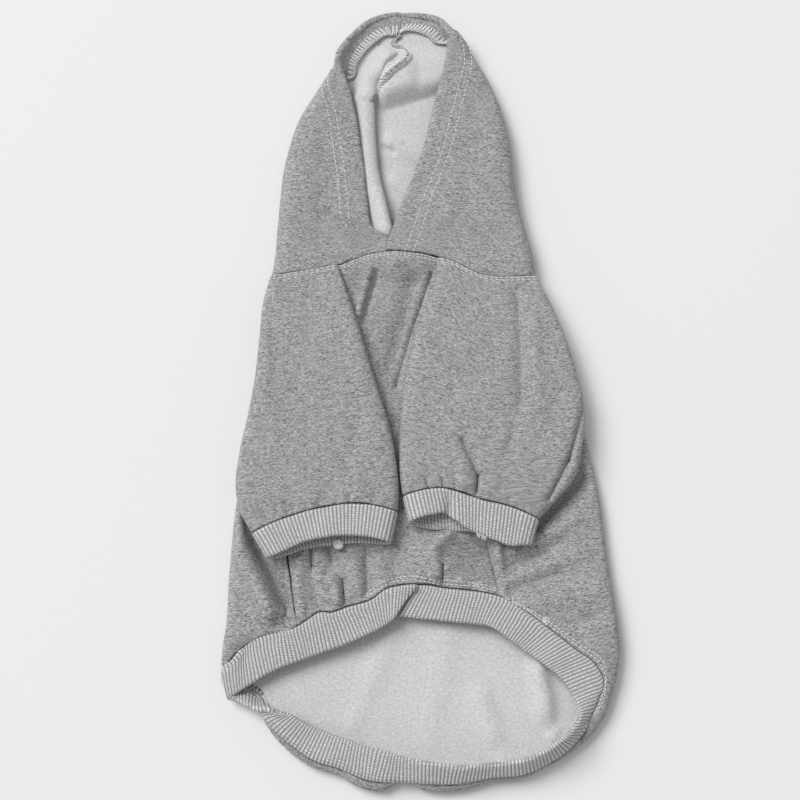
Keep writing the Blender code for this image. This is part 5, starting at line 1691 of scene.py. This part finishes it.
def zigzag(grid, out, start, way, wide, rows, lift):
    """Teeth of thread across a seam's edge, from a start column, over a range of rows."""
    columns = [column_away(grid, start, 0.2 + share * (np.asarray(wide) - 0.2), way)
               for share in (0, 0.33, 0.67, 1)]
    edge = lengths_along(grid[:, start])
    numbers = np.arange(len(edge), dtype=float)
    spots_row, spots_column = [], []
    for tooth in np.arange(edge[rows[0]] + TOOTH, edge[rows[1]] - TOOTH, TOOTH):
        for step, order in ((0.0, (0, 1, 2, 3)), (0.62, (3, 2, 1, 0))):
            for count, number in enumerate(order):
                row = np.interp(tooth + step + 0.11 * count, edge, numbers)
                spots_row.append(row)
                spots_column.append(np.interp(row, numbers, columns[number]))
    return on_cloth(grid, out, np.array(spots_row), np.array(spots_column), lift)


def threads(name, lines, thick, paint):
    """Thread along lines."""
    return grow(name, THREAD_LINE, lines, {"Thick": thick * MM, "Thread": paint})


last_row = len(left_hood_grid) - 1
seam_y = left_hood_grid[:, 0, 1]
seam_rows = ((int(np.sum(seam_y < 70.0)), int(np.sum(seam_y < SEAM_HIDDEN[0] + 1.0))),
             (int(np.sum(seam_y < SEAM_HIDDEN[1])), last_row - 5))
left_wide = 3.2 + 2.4 * ease((np.arange(last_row + 1) / last_row - 0.62) / 0.25)
left_serging = threads("left_hood_serging", [
    zigzag(left_hood_grid, left_hood_out, left_hood_grid.shape[1] - 1, -1, left_wide,
           (8, last_row), THREAD_LIFT),
    zigzag(left_hood_grid, left_hood_out, 0, 1, 2.2, seam_rows[0], -THREAD_LIFT),
    zigzag(left_hood_grid, left_hood_out, 0, 1, 4.8, seam_rows[1], -THREAD_LIFT),
], THREAD, WHITE_THREAD)
last_row = len(right_hood_grid) - 1
right_serging = threads("right_hood_serging", [
    zigzag(right_hood_grid, right_hood_out, right_hood_grid.shape[1] - 1, -1, 5.8,
           (8, last_row), THREAD_LIFT),
], THREAD, WHITE_THREAD)


def nearest_on(grid, out, x, y, up=1.0):
    """The place of a piece that is seen from above at x and y, and the way out there."""
    away = np.hypot(grid[..., 0] - x, grid[..., 1] - y) + 1e3 * (up * out[..., 2] < 0.2)
    index = np.unravel_index(np.argmin(away), away.shape)
    return grid[index] + up * out[index] * (HALF + 0.15), up * out[index]


def tangle(place, size, turns, seed):
    """A small loose tangle of thread at a place on the cloth."""
    spot, way = place
    shift = np.random.default_rng(seed).uniform(0, 2 * math.pi, 6)
    t = np.linspace(0.0, 2 * math.pi * turns, 24 * turns)
    wind = np.stack([np.sin(1.3 * t + shift[0]) + 0.6 * np.sin(2.9 * t + shift[1]),
                     np.cos(1.1 * t + shift[2]) + 0.6 * np.sin(3.7 * t + shift[3]),
                     0.5 + 0.4 * np.sin(2.3 * t + shift[4])], axis=1) * size / 3.0
    return spot + wind, np.broadcast_to(way, wind.shape)


def loose_end(place, run, bend):
    """A short loose end of thread from a place, bent to one side."""
    spot, way = place
    share = np.linspace(0.0, 1.0, 9)[:, None]
    line = spot + share * np.array(run) + np.sin(math.pi * share) * np.array(bend)
    return line, np.broadcast_to(way, line.shape)


cuff_edge = left_cuff_grid.shape[0] - 2
knot_place = nearest_on(left_cuff_grid[cuff_edge:], left_cuff_out[cuff_edge:], -41.1, -92.0, -1.0)
knot = threads("cuff_knot", [tangle(knot_place, 4.4, 6, 61)], 0.5, WHITE_THREAD)
fray_places = [nearest_on(right_cuff_grid[cuff_edge:], right_cuff_out[cuff_edge:], 27.0 + 0.9 * k, -86.5)
               for k in range(7)]
fray = threads("cuff_fray", [
    loose_end(place, (0.5 - 0.25 * (k % 3), -1.7 - 0.5 * (k % 2), -0.8), (0.3, 0.0, 0.3))
    for k, place in enumerate(fray_places)], 0.4, WHITE_THREAD)
curl = threads("hem_curl", [
    tangle(nearest_on(rim_fine, rim_out, 62.0, -129.1), 3.6, 2, 62)], 0.3, WHITE_THREAD)
# Two small dark tangles on the belly: a dark speck near the right cuff, and one in the snag's hole that is
# painted shade there.
specks_and_snag_shade = threads("belly_specks_and_snag_shade", [tangle(nearest_on(belly_grid, belly_out, x, y), size, 2, 63)
                                 for x, y, size in ((15.7, -90.5, 0.7), SNAG + (1.1,))], 0.35, DARK_THREAD_AND_SHADE)
lint = threads("hood_lint", [loose_end(nearest_on(left_hood_grid, left_hood_out, -23.4, 191.0, -1.0),
                                       (1.6, 2.4, 0.3), (0.3, -0.2, 0.2))], 0.28, RED_LINT)
corner = [rim_row(len(LEFT_SIDE) + index) for index in (7, 9)]
side_serging = threads("side_seam_serging", [
    zigzag(rim_fine, rim_out, rim_columns - 1, -1, 2.2, corner, -THREAD_LIFT)], 0.4, DARK_THREAD_AND_SHADE)
